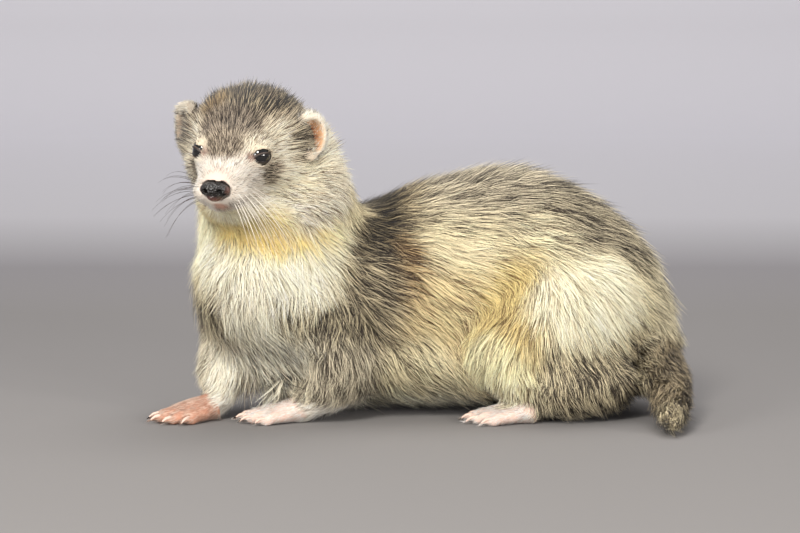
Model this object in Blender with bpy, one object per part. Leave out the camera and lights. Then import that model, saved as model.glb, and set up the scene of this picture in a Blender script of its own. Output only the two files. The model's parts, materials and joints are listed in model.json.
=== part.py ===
"""A ferret at life size, crouched on all four feet, its chest and head turned towards its left.

Metres, Z up. The trunk lies along X with the rump at +X, the animal's left side faces -Y, and the
origin is on the floor under the middle of the whole animal. The solids follow the outside of the coat.
The sizes below are in millimetres. Their X and Y are counted before the animal is centred.
"""

import math

import bmesh
import bpy
from mathutils import Matrix, Vector

MM = 0.001
GAP = 0.3  # clearance between two nodes that touch
RIGHT, LEFT = 1, -1
SIDE_NAMES = {RIGHT: "right", LEFT: "left"}

# Trunk, from seat to breast: centre x, y, z, half width, half height.
TRUNK = {
    "seat": (101, 2, 27, 12, 17),
    "rump": (92, 4, 34, 25, 28),
    "pelvis": (68, 5, 49, 33, 42),
    "loin": (40, 5, 57, 38, 50),
    "waist": (12, 4, 54, 38, 49),
    "ribs": (-18, -1, 50, 37, 44),
    "shoulders": (-46, -9, 52, 35, 40),
    "breast": (-66, -19, 58, 34, 34),
}
BELLY = {
    "groin": (46, 3, 25, 33, 22),
    "middle": (8, 1, 24, 35, 22),
    "brisket": (-34, -8, 25.5, 31, 22),
}
CHEST_FRINGE = ((-64, -20, 31), (19, 15, 21.5))  # hair that hangs between the forelegs
# Neck, from breast to skull: centre x, y, z, half width, half depth.
NECK = {
    "root": (-59, -13, 66, 39, 32),
    "middle": (-62, -15, 89, 36.5, 29),
    "top": (-66, -11, 109, 33, 24),
}
CHEST_TURN = 158  # degrees about Z from facing +Y

# The head's own frame: x to its right, y forward, z up, from the middle of the skull.
HEAD_CENTRE = (-75.5, -33, 116)
HEAD_TURN = 165.5
HEAD_NOD = -6
HEAD_LEAN = -4

SKULL = ((0, -11, 4.5), (28, 28, 23.5))
FOREHEAD = ((0, 5, 1.5), (20, 19, 16.5))
CHEEK = ((13.6, -4.5, -6), (14.2, 17, 14.5))
BROW = ((10, 13, 6), (7, 7, 5))
LIP_PAD = ((5.9, 27, -12), (6.7, 9.8, 5.8))
JAW = ((0, 17, -15.5), (10, 18, 6.8))
THROAT = ((0, 2, -21), (20, 18, 14))
MUZZLE = {  # centre x, y, z, half width, half height
    "cheeks": (0, -1, -4.5, 24, 17.5),
    "root": (0, 9.5, -4, 19.2, 14.8),
    "bridge": (0, 20.5, -5.8, 13.4, 11),
    "tip": (0, 33, -8.8, 8.2, 7),
}
MOUTH = ((0, 21, -16.2), (15, 18, 0.5))
MOUTH_DEPTH = 2.0

EYE = (12.2, 16.4, 2.4)
EYE_RADIUS = 4.6
EYE_OUT = 48  # degrees that each eye looks away from straight ahead
LID_THICKNESS = 1.2
EYE_OPENING = (4.2, 4.5, 2.7)

NOSE_PAD = ((0, 37.2, -8.6), (6.1, 4.8, 3.1))
NOSE_WING = ((3.7, 37.0, -9.2), (2.7, 3.8, 2.5))
NOSE_LOBE = ((0, 37.3, -11.4), (3.5, 3.5, 2.7))
NOSTRIL = ((3.0, 41.6, -9.2), (1.5, 2.6, 1.1))
NOSTRIL_SLIT = ((5.3, 40.0, -10.3), (1.7, 2.4, 0.55))
NOSE_GROOVE = ((0, 42.2, -11.6), (0.45, 1.8, 3.4))

EAR = (25.8, -6.2, 7)  # middle of the ear's root
EAR_TURN, EAR_TILT = 42, 12
EAR_SHELL = ((0, 0, 0), (9.2, 5.6, 11.2))
EAR_HOLLOW = ((0, 6.0, 1.0), (7.2, 7.4, 8.8))
EAR_LOBE = ((0, 2.4, -7), (6, 2.8, 3.2))

# Legs: stations from body to foot, centre x, y, z, half width, half depth.
FORELEG = {
    LEFT: {
        "shoulder": (-44, -24, 54, 15, 19),
        "upper arm": (-38, -31, 38, 13, 16),
        "elbow": (-36, -32, 19, 11.5, 14),
        "forearm": (-44, -31, 12, 10, 10.5),
        "wrist": (-51, -29, 8, 8.5, 8),
    },
    RIGHT: {
        "shoulder": (-82, 0, 56, 16.5, 18),
        "upper arm": (-83.5, -2, 42, 14.5, 14.5),
        "elbow": (-84.5, -7, 30, 12.5, 12.5),
        "forearm": (-86.5, -16, 18, 11, 10.5),
        "wrist": (-88, -23, 9, 8.5, 8),
    },
}
THIGH = {
    "hip": (75, -12, 46, 23, 28),
    "middle": (60, -20, 42, 23, 28),
    "knee": (38, -28, 28, 17, 20),
}
SHANK = {
    "knee": (40, -31, 18, 12, 13),
    "shin": (59, -31, 15, 14, 14),
    "heel": (79, -25, 16.5, 13.5, 14),
}
TRUNK_MIDDLE = 5  # y of the trunk's middle plane at the hips
PELVIS_STRIP = 4  # half the trunk's width left between the thighs
LEG_CREASE = 4.5  # how far outside a leg's own form it parts from the trunk

# Each foot: x and y of the wrist or ankle, heading in degrees about Z.
FOREPAW = {LEFT: (-49, -29, 97), RIGHT: (-88, -23, 116)}
HINDFOOT = {LEFT: (50, -32, 92), RIGHT: (48, 42, 88)}
FOREPAW_PALM = {
    "wrist": (0, -5, 7, 8.2, 6.6),
    "palm": (0, 8, 5.4, 9.4, 5.4),
    "knuckles": (0, 15, 4.6, 9.6, 4.4),
}
HINDFOOT_SOLE = {
    "ankle": (0, -6, 7.5, 9, 7),
    "sole": (0, 7, 5.6, 8.8, 5.6),
    "knuckles": (0, 17, 4.4, 9.4, 4.2),
}
# Each toe: x of its knuckle, y behind the knuckle line, length, splay in degrees outwards.
TOES = {
    "inner": (-8.0, -4.0, 8.5, -22),
    "second": (-5.2, 0.0, 11.0, -9),
    "middle": (-0.6, 1.4, 12.0, 0),
    "fourth": (4.0, 0.4, 11.4, 8),
    "outer": (8.0, -3.0, 9.5, 20),
}
TOE_RADIUS = 2.9
SOLE_PRESS = 1.1  # how far soles and toes are pressed flat on the floor
KNEE_OVER_FOOT = 10  # height of the thigh's coat over the hind foot
WRIST_HEIGHT = 30
CLAW_LENGTH = 4.5
CLAW_RADIUS = 1.05

TAIL = {
    "root": (101, 2, 25, 12, 13),
    "bend": (105, -15, 17.5, 11.5, 12.5),
    "middle": (105.5, -34, 12.8, 10.2, 11),
    "end": (104.5, -52, 8.2, 8, 8.6),
    "tip": (103, -66, 5.8, 6.3, 6.6),
}

# Planes that part the body, as a point and a normal that points to the head's side.
NECK_PLANE = ((-60, -16, 80), (-0.35, -0.15, 0.92))
HEAD_PLANE = ((0, -14, -14), (0, 0.5, 0.87))  # in the head's frame

# Colour, roughness.
COLOURS = {
    "head": ((0.84, 0.79, 0.69), 0.9),
    "neck": ((0.70, 0.56, 0.33), 0.9),
    "torso": ((0.58, 0.50, 0.37), 0.9),
    "tail": ((0.33, 0.29, 0.23), 0.9),
    "foreleg": ((0.45, 0.40, 0.33), 0.9),
    "forepaw": ((0.78, 0.56, 0.48), 0.6),
    "hindleg": ((0.55, 0.48, 0.34), 0.9),
    "hindfoot": ((0.80, 0.62, 0.55), 0.6),
    "ear": ((0.70, 0.45, 0.32), 0.8),
    "eye": ((0.01, 0.008, 0.008), 0.05),
    "nose": ((0.06, 0.035, 0.03), 0.35),
}


def clear_scene():
    for item in list(bpy.data.objects):
        bpy.data.objects.remove(item, do_unlink=True)


def new_object(name, bm):
    mesh = bpy.data.meshes.new(name)
    bm.to_mesh(mesh)
    bm.free()
    item = bpy.data.objects.new(name, mesh)
    bpy.context.scene.collection.objects.link(item)
    return item


def turned(place, turn, nod=0.0, lean=0.0):
    """A frame at a place in millimetres, turned about Z, then nodded, then leaned, in degrees."""
    turn, nod, lean = (math.radians(angle) for angle in (turn, nod, lean))
    spin = Matrix.Rotation(turn, 4, "Z") @ Matrix.Rotation(nod, 4, "X") @ Matrix.Rotation(lean, 4, "Y")
    return Matrix.Translation(Vector(place) * MM) @ spin


def ellipsoid(centre, radii, frame=Matrix.Identity(4), sides=24, grow=0.0):
    bm = bmesh.new()
    bmesh.ops.create_uvsphere(bm, u_segments=sides, v_segments=sides * 2 // 3, radius=1)
    size = [(radius + grow) * MM for radius in radii]
    place = frame @ Matrix.Translation(Vector(centre) * MM) @ Matrix.Diagonal((*size, 1))
    bmesh.ops.transform(bm, matrix=place, verts=bm.verts)
    return new_object("form", bm)


def between(stations, at):
    """The stations' values at a place along them, 0 to their count less 1, on a smooth curve."""
    first = min(int(at), len(stations) - 2)
    t = at - first
    last = len(stations) - 1
    a, b, c, d = (stations[min(max(first + k, 0), last)] for k in (-1, 0, 1, 2))
    return [
        0.5 * (2 * q + (r - p) * t + (2 * p - 5 * q + 4 * r - s) * t * t + (3 * q - p - 3 * r + s) * t ** 3)
        for p, q, r, s in zip(a, b, c, d)
    ]


def loft(stations, across, frame=Matrix.Identity(4), sides=24, steps=5, grow=0.0, dome=4):
    """A closed tube through the stations (x, y, z, half width, half height), domed at both ends.

    across is the direction that the half widths are measured along.
    """
    rows = [between(stations, i / steps) for i in range((len(stations) - 1) * steps + 1)]
    centres = [Vector(row[:3]) for row in rows]
    rings = []
    for i, row in enumerate(rows):
        along = (centres[min(i + 1, len(rows) - 1)] - centres[max(i - 1, 0)]).normalized()
        side = (Vector(across) - Vector(across).dot(along) * along).normalized()
        rings.append((centres[i], side * (row[3] + grow), along.cross(side) * (row[4] + grow), along))
    for end, sign in ((0, -1), (-1, 1)):
        centre, side, up, along = rings[end]
        reach = min(side.length, up.length)
        for k in range(1, dome):
            angle = math.pi / 2 * k / dome
            ring = (centre + along * sign * reach * math.sin(angle),
                    side * math.cos(angle), up * math.cos(angle), along)
            rings.insert(0 if sign < 0 else len(rings), ring)
    bm = bmesh.new()
    loops = []
    for centre, side, up, _ in rings:
        angles = [2 * math.pi * k / sides for k in range(sides)]
        spots = [centre + side * math.cos(a) + up * math.sin(a) for a in angles]
        loops.append([bm.verts.new(frame @ (spot * MM)) for spot in spots])
    for near, far in zip(loops, loops[1:]):
        for k in range(sides):
            n = (k + 1) % sides
            bm.faces.new((near[k], near[n], far[n], far[k]))
    bm.faces.new(reversed(loops[0]))
    bm.faces.new(loops[-1])
    bmesh.ops.recalc_face_normals(bm, faces=bm.faces)
    return new_object("form", bm)


def chain(table):
    return list(table.values())


def settle(item):
    """Turns an object's modifiers into its mesh."""
    graph = bpy.context.evaluated_depsgraph_get()
    mesh = bpy.data.meshes.new_from_object(item.evaluated_get(graph))
    item.modifiers.clear()
    item.data = mesh
    return item


def union(forms, name):
    """One Boolean union of closed forms that overlap."""
    first, *others = forms
    first.name = name
    if not others:
        return first
    pieces = bpy.data.collections.new("pieces")
    for form in others:
        pieces.objects.link(form)
    join = first.modifiers.new("union", "BOOLEAN")
    join.solver = "MANIFOLD"
    join.operation = "UNION"
    join.operand_type = "COLLECTION"
    join.collection = pieces
    settle(first)
    for form in others:
        bpy.data.objects.remove(form, do_unlink=True)
    bpy.data.collections.remove(pieces)
    return largest(first)


def fuse(forms, name, voxel, blend, triangles):
    """Forms made one closed skin, with the creases between them rounded over the blend length."""
    item = union(forms, name)
    remesh = item.modifiers.new("fuse", "REMESH")
    remesh.mode = "VOXEL"
    remesh.voxel_size = voxel * MM
    smooth = item.modifiers.new("round", "SMOOTH")
    smooth.factor = 0.5
    smooth.iterations = max(1, round((blend / voxel) ** 2))
    settle(item)
    thin = item.modifiers.new("thin", "DECIMATE")
    thin.ratio = min(1.0, triangles / (2 * len(item.data.polygons)))
    thin.use_collapse_triangulate = True
    return settle(item)


def combine(item, tool, operation):
    """Cuts, joins or keeps what is common to an object and a tool, which is used up."""
    cut = item.modifiers.new(operation, "BOOLEAN")
    cut.solver = "MANIFOLD"
    cut.operation = operation
    cut.object = tool
    settle(item)
    bpy.data.objects.remove(tool, do_unlink=True)
    return largest(item)


def largest(item):
    """Keeps the closed surface with the most points, and drops any loose scrap."""
    bm = bmesh.new()
    bm.from_mesh(item.data)
    left = set(bm.verts)
    groups = []
    while left:
        queue = [left.pop()]
        group = set(queue)
        while queue:
            for edge in queue.pop().link_edges:
                for vert in edge.verts:
                    if vert in left:
                        left.remove(vert)
                        group.add(vert)
                        queue.append(vert)
        groups.append(group)
    groups.sort(key=len)
    scrap = [vert for group in groups[:-1] for vert in group]
    bmesh.ops.delete(bm, geom=scrap, context="VERTS")
    bm.to_mesh(item.data)
    bm.free()
    return item


def copy_of(item, name):
    twin = item.copy()
    twin.data = item.data.copy()
    twin.name = name
    bpy.context.scene.collection.objects.link(twin)
    return twin


def grown(item, by):
    """A copy whose surface lies further out, by a length in millimetres."""
    twin = copy_of(item, "grown")
    swell = twin.modifiers.new("swell", "DISPLACE")
    swell.mid_level = 0
    swell.strength = by * MM
    return settle(twin)


def half_space(point, normal, reach=400.0):
    """A block with one face through the point, on the side that the normal points to."""
    bm = bmesh.new()
    bmesh.ops.create_cube(bm, size=2 * reach * MM)
    normal = Vector(normal).normalized()
    turn = Vector((0, 0, 1)).rotation_difference(normal).to_matrix().to_4x4()
    place = Matrix.Translation((Vector(point) + normal * reach) * MM) @ turn
    bmesh.ops.transform(bm, matrix=place, verts=bm.verts)
    return new_object("half space", bm)


def part_by_plane(item, point, normal, name):
    """Splits a solid in two at a plane, with the gap between. Returns the side the normal points to."""
    shift = Vector(normal).normalized() * GAP / 2
    far = copy_of(item, name)
    combine(far, half_space(Vector(point) + shift, normal), "INTERSECT")
    combine(item, half_space(Vector(point) - shift, -Vector(normal)), "INTERSECT")
    return far


HEAD_FRAME = turned(HEAD_CENTRE, HEAD_TURN, HEAD_NOD, HEAD_LEAN)
CHEST_ACROSS = (math.cos(math.radians(CHEST_TURN)), math.sin(math.radians(CHEST_TURN)), 0)
TRUNK_ACROSS = (0, 1, 0)


def mirrored(point, side):
    return (point[0] * side, *point[1:])


def neck_form():
    return loft(chain(NECK), CHEST_ACROSS)


def head_forms():
    forms = [
        ellipsoid(*SKULL, HEAD_FRAME),
        ellipsoid(*FOREHEAD, HEAD_FRAME),
        ellipsoid(*JAW, HEAD_FRAME),
        ellipsoid(*THROAT, HEAD_FRAME),
        loft(chain(MUZZLE), (1, 0, 0), HEAD_FRAME),
    ]
    for side in (RIGHT, LEFT):
        for centre, radii in (CHEEK, BROW, LIP_PAD):
            forms.append(ellipsoid(mirrored(centre, side), radii, HEAD_FRAME))
    return forms


def leg_form(side, hind, grow=0.0):
    """A leg down to its wrist or heel. The right hind leg mirrors the left one."""
    if not hind:
        return loft(chain(FORELEG[side]), CHEST_ACROSS, grow=grow)
    halves = []
    for stations in (chain(THIGH), chain(SHANK)):
        if side == RIGHT:
            stations = [(x, 2 * TRUNK_MIDDLE - y, z, wide, deep) for x, y, z, wide, deep in stations]
        halves.append(loft(stations, TRUNK_ACROSS, grow=grow))
    return union(halves, "leg")


def tail_form(grow=0.0):
    return loft(chain(TAIL), (0, 0, 1), grow=grow)


def body():
    """The whole animal's outline in one skin, without its face and feet."""
    forms = [loft(chain(TRUNK), TRUNK_ACROSS, sides=32), loft(chain(BELLY), TRUNK_ACROSS)]
    forms += [neck_form(), tail_form()]
    forms += [ellipsoid(*SKULL, HEAD_FRAME), ellipsoid(*THROAT, HEAD_FRAME)]
    forms.append(ellipsoid(*CHEST_FRINGE, Matrix.Identity(4)))
    for side in (RIGHT, LEFT):
        forms += [leg_form(side, True), leg_form(side, False)]
    return fuse(forms, "torso", 2.0, 6.0, 3250)


def limb_from(torso, form, name, strip_side=None):
    """Takes a limb out of the torso along a form, for a thigh only beyond the pelvis strip."""
    cutter = fuse([form], "cutter", 2.0, 3.0, 420)
    wider = grown(cutter, GAP)
    if strip_side:
        for tool, inset in ((cutter, 0), (wider, GAP)):
            middle = TRUNK_MIDDLE + strip_side * (PELVIS_STRIP - inset)
            combine(tool, half_space((0, middle, 0), (0, strip_side, 0)), "INTERSECT")
    limb = copy_of(torso, name)
    combine(limb, cutter, "INTERSECT")
    combine(torso, wider, "DIFFERENCE")
    return limb


def eye_frame(side):
    centre = Matrix.Translation(Vector(mirrored(EYE, side)) * MM)
    return HEAD_FRAME @ centre @ Matrix.Rotation(math.radians(-side * EYE_OUT), 4, "Z")


def head():
    forms = head_forms() + [neck_form()]
    lid = EYE_RADIUS + LID_THICKNESS
    forms += [ellipsoid((0, 0, 0), (lid, lid, lid), eye_frame(side)) for side in (RIGHT, LEFT)]
    skin = fuse(forms, "head", 1.3, 4.5, 2400)
    point, normal = plane_of_head()
    combine(skin, half_space(point + normal.normalized() * GAP / 2, normal), "INTERSECT")
    for side in (RIGHT, LEFT):
        outwards = (0, EYE_RADIUS, 0)
        combine(skin, ellipsoid(outwards, EYE_OPENING, eye_frame(side)), "DIFFERENCE")
        socket = EYE_RADIUS + GAP
        combine(skin, ellipsoid((0, 0, 0), (socket, socket, socket), eye_frame(side)), "DIFFERENCE")
    combine(skin, mouth_groove(), "DIFFERENCE")
    return skin


def mouth_groove():
    """The thin line between the lips, only as deep as the mouth's depth."""
    groove = ellipsoid(*MOUTH, HEAD_FRAME, sides=32)
    combine(groove, loft(chain(MUZZLE), (1, 0, 0), HEAD_FRAME, grow=-MOUTH_DEPTH), "DIFFERENCE")
    return combine(groove, ellipsoid(*JAW, HEAD_FRAME, grow=-MOUTH_DEPTH), "DIFFERENCE")


def nose():
    forms = [ellipsoid(*NOSE_PAD, HEAD_FRAME), ellipsoid(*NOSE_LOBE, HEAD_FRAME)]
    for side in (RIGHT, LEFT):
        forms.append(ellipsoid(mirrored(NOSE_WING[0], side), NOSE_WING[1], HEAD_FRAME))
    pad = fuse(forms, "nose", 0.6, 1.0, 280)
    for side in (RIGHT, LEFT):
        for centre, radii in (NOSTRIL, NOSTRIL_SLIT):
            combine(pad, ellipsoid(mirrored(centre, side), radii, HEAD_FRAME, sides=10), "DIFFERENCE")
    return combine(pad, ellipsoid(*NOSE_GROOVE, HEAD_FRAME, sides=10), "DIFFERENCE")


def ear(side):
    root = Matrix.Translation(Vector(mirrored(EAR, side)) * MM)
    facing = Matrix.Rotation(math.radians(-side * EAR_TURN), 4, "Z")
    lean = Matrix.Rotation(math.radians(side * EAR_TILT), 4, "Y")
    frame = HEAD_FRAME @ root @ facing @ lean
    shell = ellipsoid(*EAR_SHELL, frame)
    combine(shell, ellipsoid(*EAR_HOLLOW, frame), "DIFFERENCE")
    return fuse([shell, ellipsoid(*EAR_LOBE, frame)], "ear_" + SIDE_NAMES[side], 0.7, 1.2, 420)


def toe_and_claw(frame, side, toe, knuckles):
    x, y, length, splay = toe
    root = Matrix.Translation(Vector((x * side, knuckles + y, 0)) * MM)
    frame = frame @ root @ Matrix.Rotation(math.radians(-side * splay), 4, "Z")
    radius = TOE_RADIUS
    flesh = loft([
        (0, -2, radius + 1.4, radius, radius),
        (0, length * 0.5, radius + 1.0, radius * 0.95, radius),
        (0, length - radius, radius - 0.3, radius, radius * 0.9),
    ], (1, 0, 0), frame, sides=10, steps=3)
    claw = loft([
        (0, length - 2.5, radius + 1.2, CLAW_RADIUS, CLAW_RADIUS * 1.2),
        (0, length + CLAW_LENGTH * 0.5, radius * 0.95, CLAW_RADIUS * 0.8, CLAW_RADIUS),
        (0, length + CLAW_LENGTH * 0.95, SOLE_PRESS + 0.6, CLAW_RADIUS * 0.25, CLAW_RADIUS * 0.3),
    ], (1, 0, 0), frame, sides=5, steps=1, dome=2)
    return flesh, claw


def foot(name, side, place, palm):
    x, y, heading = place
    frame = turned((x, y, -SOLE_PRESS), heading)
    knuckles = palm["knuckles"][1]
    pairs = [toe_and_claw(frame, side, toe, knuckles) for toe in TOES.values()]
    flesh = [loft(chain(palm), (1, 0, 0), frame)] + [pair[0] for pair in pairs]
    skin = fuse(flesh, name, 0.9, 1.3, 460)
    skin = union([skin] + [pair[1] for pair in pairs], name)
    return combine(skin, half_space((0, 0, 0), (0, 0, 1)), "INTERSECT")


def foot_block(place, height, inset):
    """A block over the foot, up to a height, its rear face at the wrist or ankle and tipped forwards."""
    x, y, heading = place
    frame = turned((x, y, 0), heading)
    width, length, depth, tip = 40, 48, 9, 0.3
    bm = bmesh.new()
    bmesh.ops.create_cube(bm, size=1)
    for vert in bm.verts:
        rear = vert.co.y < 0
        vert.co = Vector((vert.co.x * width, length, height if vert.co.z > 0 else -depth))
        if rear:
            vert.co.y = vert.co.z * tip + inset
    bmesh.ops.transform(bm, matrix=frame @ Matrix.Scale(MM, 4), verts=bm.verts)
    return new_object("foot block", bm)


def finish(item, kind):
    colour, roughness = COLOURS[kind]
    surface = bpy.data.materials.new(item.name)
    surface.use_nodes = True
    shader = surface.node_tree.nodes["Principled BSDF"]
    shader.inputs["Base Color"].default_value = (*colour, 1)
    shader.inputs["Roughness"].default_value = roughness
    shader.inputs["Metallic"].default_value = 0
    item.data.materials.clear()
    item.data.materials.append(surface)
    item.data.shade_smooth()
    item.data.set_sharp_from_angle(angle=math.radians(50))


def centre_on_floor(items):
    """Moves the animal so that the origin is on the floor under the middle of its box."""
    points = [vert.co for item in items for vert in item.data.vertices]
    middle = [(min(p[i] for p in points) + max(p[i] for p in points)) / 2 for i in (0, 1)]
    shift = Matrix.Translation((-middle[0], -middle[1], 0))
    for item in items:
        item.data.transform(shift)


def plane_of_head():
    point, normal = HEAD_PLANE
    return HEAD_FRAME @ (Vector(point) * MM) / MM, HEAD_FRAME.to_3x3() @ Vector(normal)


def head_off(torso):
    """Cuts the skull's stand-in off the body, where the finer head takes its place."""
    spare = part_by_plane(torso, *plane_of_head(), "spare")
    bpy.data.objects.remove(spare, do_unlink=True)


def leg_and_foot(torso, side, hind):
    """Takes one leg out of the torso and makes its foot, which the leg's coat meets at the wrist or ankle."""
    leg_name, foot_name = ("hindleg", "hindfoot") if hind else ("foreleg", "forepaw")
    place = (HINDFOOT if hind else FOREPAW)[side]
    palm = HINDFOOT_SOLE if hind else FOREPAW_PALM
    coat_height = KNEE_OVER_FOOT if hind else WRIST_HEIGHT
    word = "_" + SIDE_NAMES[side]
    leg = limb_from(torso, leg_form(side, hind, LEG_CREASE), leg_name + word, side if hind else None)
    end = foot(foot_name + word, side, place, palm)
    combine(leg, foot_block(place, coat_height, 0), "DIFFERENCE")
    combine(end, foot_block(place, WRIST_HEIGHT, GAP), "INTERSECT")
    combine(leg, grown(end, GAP), "DIFFERENCE")
    combine(torso, grown(end, GAP), "DIFFERENCE")
    return {leg: leg_name, end: foot_name}


def face():
    """The head with its nose, ears and eyes."""
    skull = head()
    pad = nose()
    combine(skull, grown(pad, GAP), "DIFFERENCE")
    kinds = {skull: "head", pad: "nose"}
    for side in (RIGHT, LEFT):
        flap = ear(side)
        combine(flap, grown(skull, GAP), "DIFFERENCE")
        kinds[flap] = "ear"
        ball = ellipsoid((0, 0, 0), (EYE_RADIUS,) * 3, eye_frame(side), sides=14)
        ball.name = "eye_" + SIDE_NAMES[side]
        kinds[ball] = "eye"
    return kinds


def main():
    clear_scene()
    torso = body()
    combine(torso, half_space((0, 0, 0), (0, 0, 1)), "INTERSECT")
    head_off(torso)
    kinds = {torso: "torso", part_by_plane(torso, *NECK_PLANE, "neck"): "neck"}
    for side in (RIGHT, LEFT):
        for hind in (False, True):
            kinds.update(leg_and_foot(torso, side, hind))
    kinds[limb_from(torso, tail_form(LEG_CREASE), "tail")] = "tail"
    kinds.update(face())
    for item, kind in kinds.items():
        finish(item, kind)
    centre_on_floor(list(kinds))


main()
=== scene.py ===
# %% [markdown]
# # A ferret's coat, in cells
# The solids of this ferret are already made, and they are loaded as a fixed frame. They follow the outside
# of its coat. This lesson puts the real surface there: one skin that lies deeper than the solids, and a coat
# of solid tufts that grows out of it to where the solids end. It could be done with a particle system, but
# particle hair isn't a mesh and doesn't leave Blender, so every tuft here is a small closed mesh.

# %% Load the frame
import json
import math
import bpy
import numpy as np
from mathutils import Matrix, Vector
from mathutils.bvhtree import BVHTree
from mathutils.kdtree import KDTree

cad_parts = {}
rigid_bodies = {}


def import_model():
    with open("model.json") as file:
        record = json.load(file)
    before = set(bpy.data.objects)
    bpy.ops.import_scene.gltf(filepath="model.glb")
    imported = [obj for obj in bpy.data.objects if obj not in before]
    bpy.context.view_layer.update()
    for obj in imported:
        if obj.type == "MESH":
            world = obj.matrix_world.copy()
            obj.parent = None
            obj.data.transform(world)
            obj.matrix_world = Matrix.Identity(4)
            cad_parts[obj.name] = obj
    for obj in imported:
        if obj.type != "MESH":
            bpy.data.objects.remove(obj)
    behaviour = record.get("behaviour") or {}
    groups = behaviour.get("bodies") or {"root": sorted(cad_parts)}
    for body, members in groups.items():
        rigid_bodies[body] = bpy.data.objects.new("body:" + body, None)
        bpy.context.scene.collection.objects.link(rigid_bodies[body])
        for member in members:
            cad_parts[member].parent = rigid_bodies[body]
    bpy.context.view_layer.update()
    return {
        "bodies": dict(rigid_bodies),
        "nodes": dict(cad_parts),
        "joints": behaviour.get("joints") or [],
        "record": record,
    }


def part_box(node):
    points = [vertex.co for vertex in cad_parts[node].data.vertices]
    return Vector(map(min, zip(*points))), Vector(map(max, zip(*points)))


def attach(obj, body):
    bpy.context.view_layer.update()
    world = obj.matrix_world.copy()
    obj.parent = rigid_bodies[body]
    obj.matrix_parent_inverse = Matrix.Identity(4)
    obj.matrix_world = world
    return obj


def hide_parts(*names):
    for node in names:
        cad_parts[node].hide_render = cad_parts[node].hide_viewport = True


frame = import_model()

MM = 0.001
RIGHT, LEFT = 1, -1
SIDE_NAMES = {RIGHT: "right", LEFT: "left"}
print("nodes:", sorted(frame["nodes"]))

# %% [markdown]
# Colours are picked as sRGB hex, the way a paint program shows them. Blender's shaders work in linear light,
# so one function turns every one of them to linear.


# %% Colour from hex
def linear(hex_colour):
    """An sRGB hex colour as linear red, green and blue."""
    values = [int(hex_colour.lstrip("#")[i:i + 2], 16) / 255 for i in (0, 2, 4)]
    return [v / 12.92 if v <= 0.04045 else ((v + 0.055) / 1.055) ** 2.4 for v in values]


print("cream is", [round(v, 3) for v in linear("#F3EBDD")])

# %% [markdown]
# A node material is a row of nodes and links. One helper adds a node, sets its values and links what feeds
# it, so that a material reads from top to bottom.


# %% Helpers for nodes, selection and meshes
PAINT_LAYER = "coat"


def add_node(material, kind, settings=None, links=None):
    """Adds a node. settings are its properties, or its sockets by name. links are socket: output."""
    node = material.node_tree.nodes.new(kind)
    for key, value in (settings or {}).items():
        if key in node.inputs:
            node.inputs[key].default_value = value
        else:
            setattr(node, key, value)
    for key, output in (links or {}).items():
        material.node_tree.links.new(output, node.inputs[key])
    return node


def new_material(name):
    """A material with only its Principled shader and output, and that shader."""
    material = bpy.data.materials.new(name)
    material.use_nodes = True
    return material, material.node_tree.nodes["Principled BSDF"]


def select_only(item):
    bpy.ops.object.select_all(action="DESELECT")
    item.select_set(True)
    bpy.context.view_layer.objects.active = item


def apply_modifiers(item):
    select_only(item)
    for modifier in list(item.modifiers):
        bpy.ops.object.modifier_apply(modifier=modifier.name)


def link_new(mesh):
    """An object of a new mesh, under the mesh's name."""
    item = bpy.data.objects.new(mesh.name, mesh)
    bpy.context.scene.collection.objects.link(item)
    return item


def paint_points(mesh, colours):
    """Keeps a colour at each point of a mesh, in the layer that the painted materials read."""
    paint = mesh.attributes.new(PAINT_LAYER, "FLOAT_COLOR", "POINT")
    paint.data.foreach_set("color", np.column_stack([colours, np.ones(len(colours))]).ravel())


def smooth_faces(mesh):
    mesh.polygons.foreach_set("use_smooth", np.ones(len(mesh.polygons), bool))


print("helpers for nodes, selection and new meshes")

# %% [markdown]
# The head is turned, nodded and leaned against the trunk, so it gets a frame of its own: x to the animal's
# right, y out of the nose and z up. Its sizes repeat those of the solids, and the left eye's box tells how
# far the solids were moved to centre them.

# %% The head's frame and landmarks
HEAD_CENTRE = (-75.5, -33, 116)
HEAD_TURN, HEAD_NOD, HEAD_LEAN = 165.5, -6, -4
EYE = (12.2, 16.4, 2.4)
EYE_RADIUS = 4.6
EYE_OUT = 48
EAR = (25.8, -6.2, 7)


def turned(place, turn, nod=0.0, lean=0.0):
    turn, nod, lean = (math.radians(angle) for angle in (turn, nod, lean))
    spin = Matrix.Rotation(turn, 4, "Z") @ Matrix.Rotation(nod, 4, "X") @ Matrix.Rotation(lean, 4, "Y")
    return Matrix.Translation(Vector(place)) @ spin


def mirrored(point, side):
    return Vector((point[0] * side, point[1], point[2]))


low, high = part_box("eye_left")
shift = (low + high) / 2 / MM - turned(HEAD_CENTRE, HEAD_TURN, HEAD_NOD, HEAD_LEAN) @ mirrored(EYE, LEFT)
head_frame = Matrix.Translation(shift) @ turned(HEAD_CENTRE, HEAD_TURN, HEAD_NOD, HEAD_LEAN)
print("the solids were moved by", [round(v, 2) for v in shift], "mm")

# %% [markdown]
# The photo has little perspective, so it was taken with a long lens. The camera stands over a metre away and
# looks down by a few degrees, a compromise between the line of the back and the places of the feet. The
# middle of the solids' drawing, on the floor, is put at the pixel where the photo has it.

# %% Camera as in the photo
CAMERA_DISTANCE = 1.15
CAMERA_RISE = 7.2
PIXELS_PER_METRE = 2270
FLOOR_POINT_PIXEL = (421, 408)
PICTURE = (800, 533)

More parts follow.
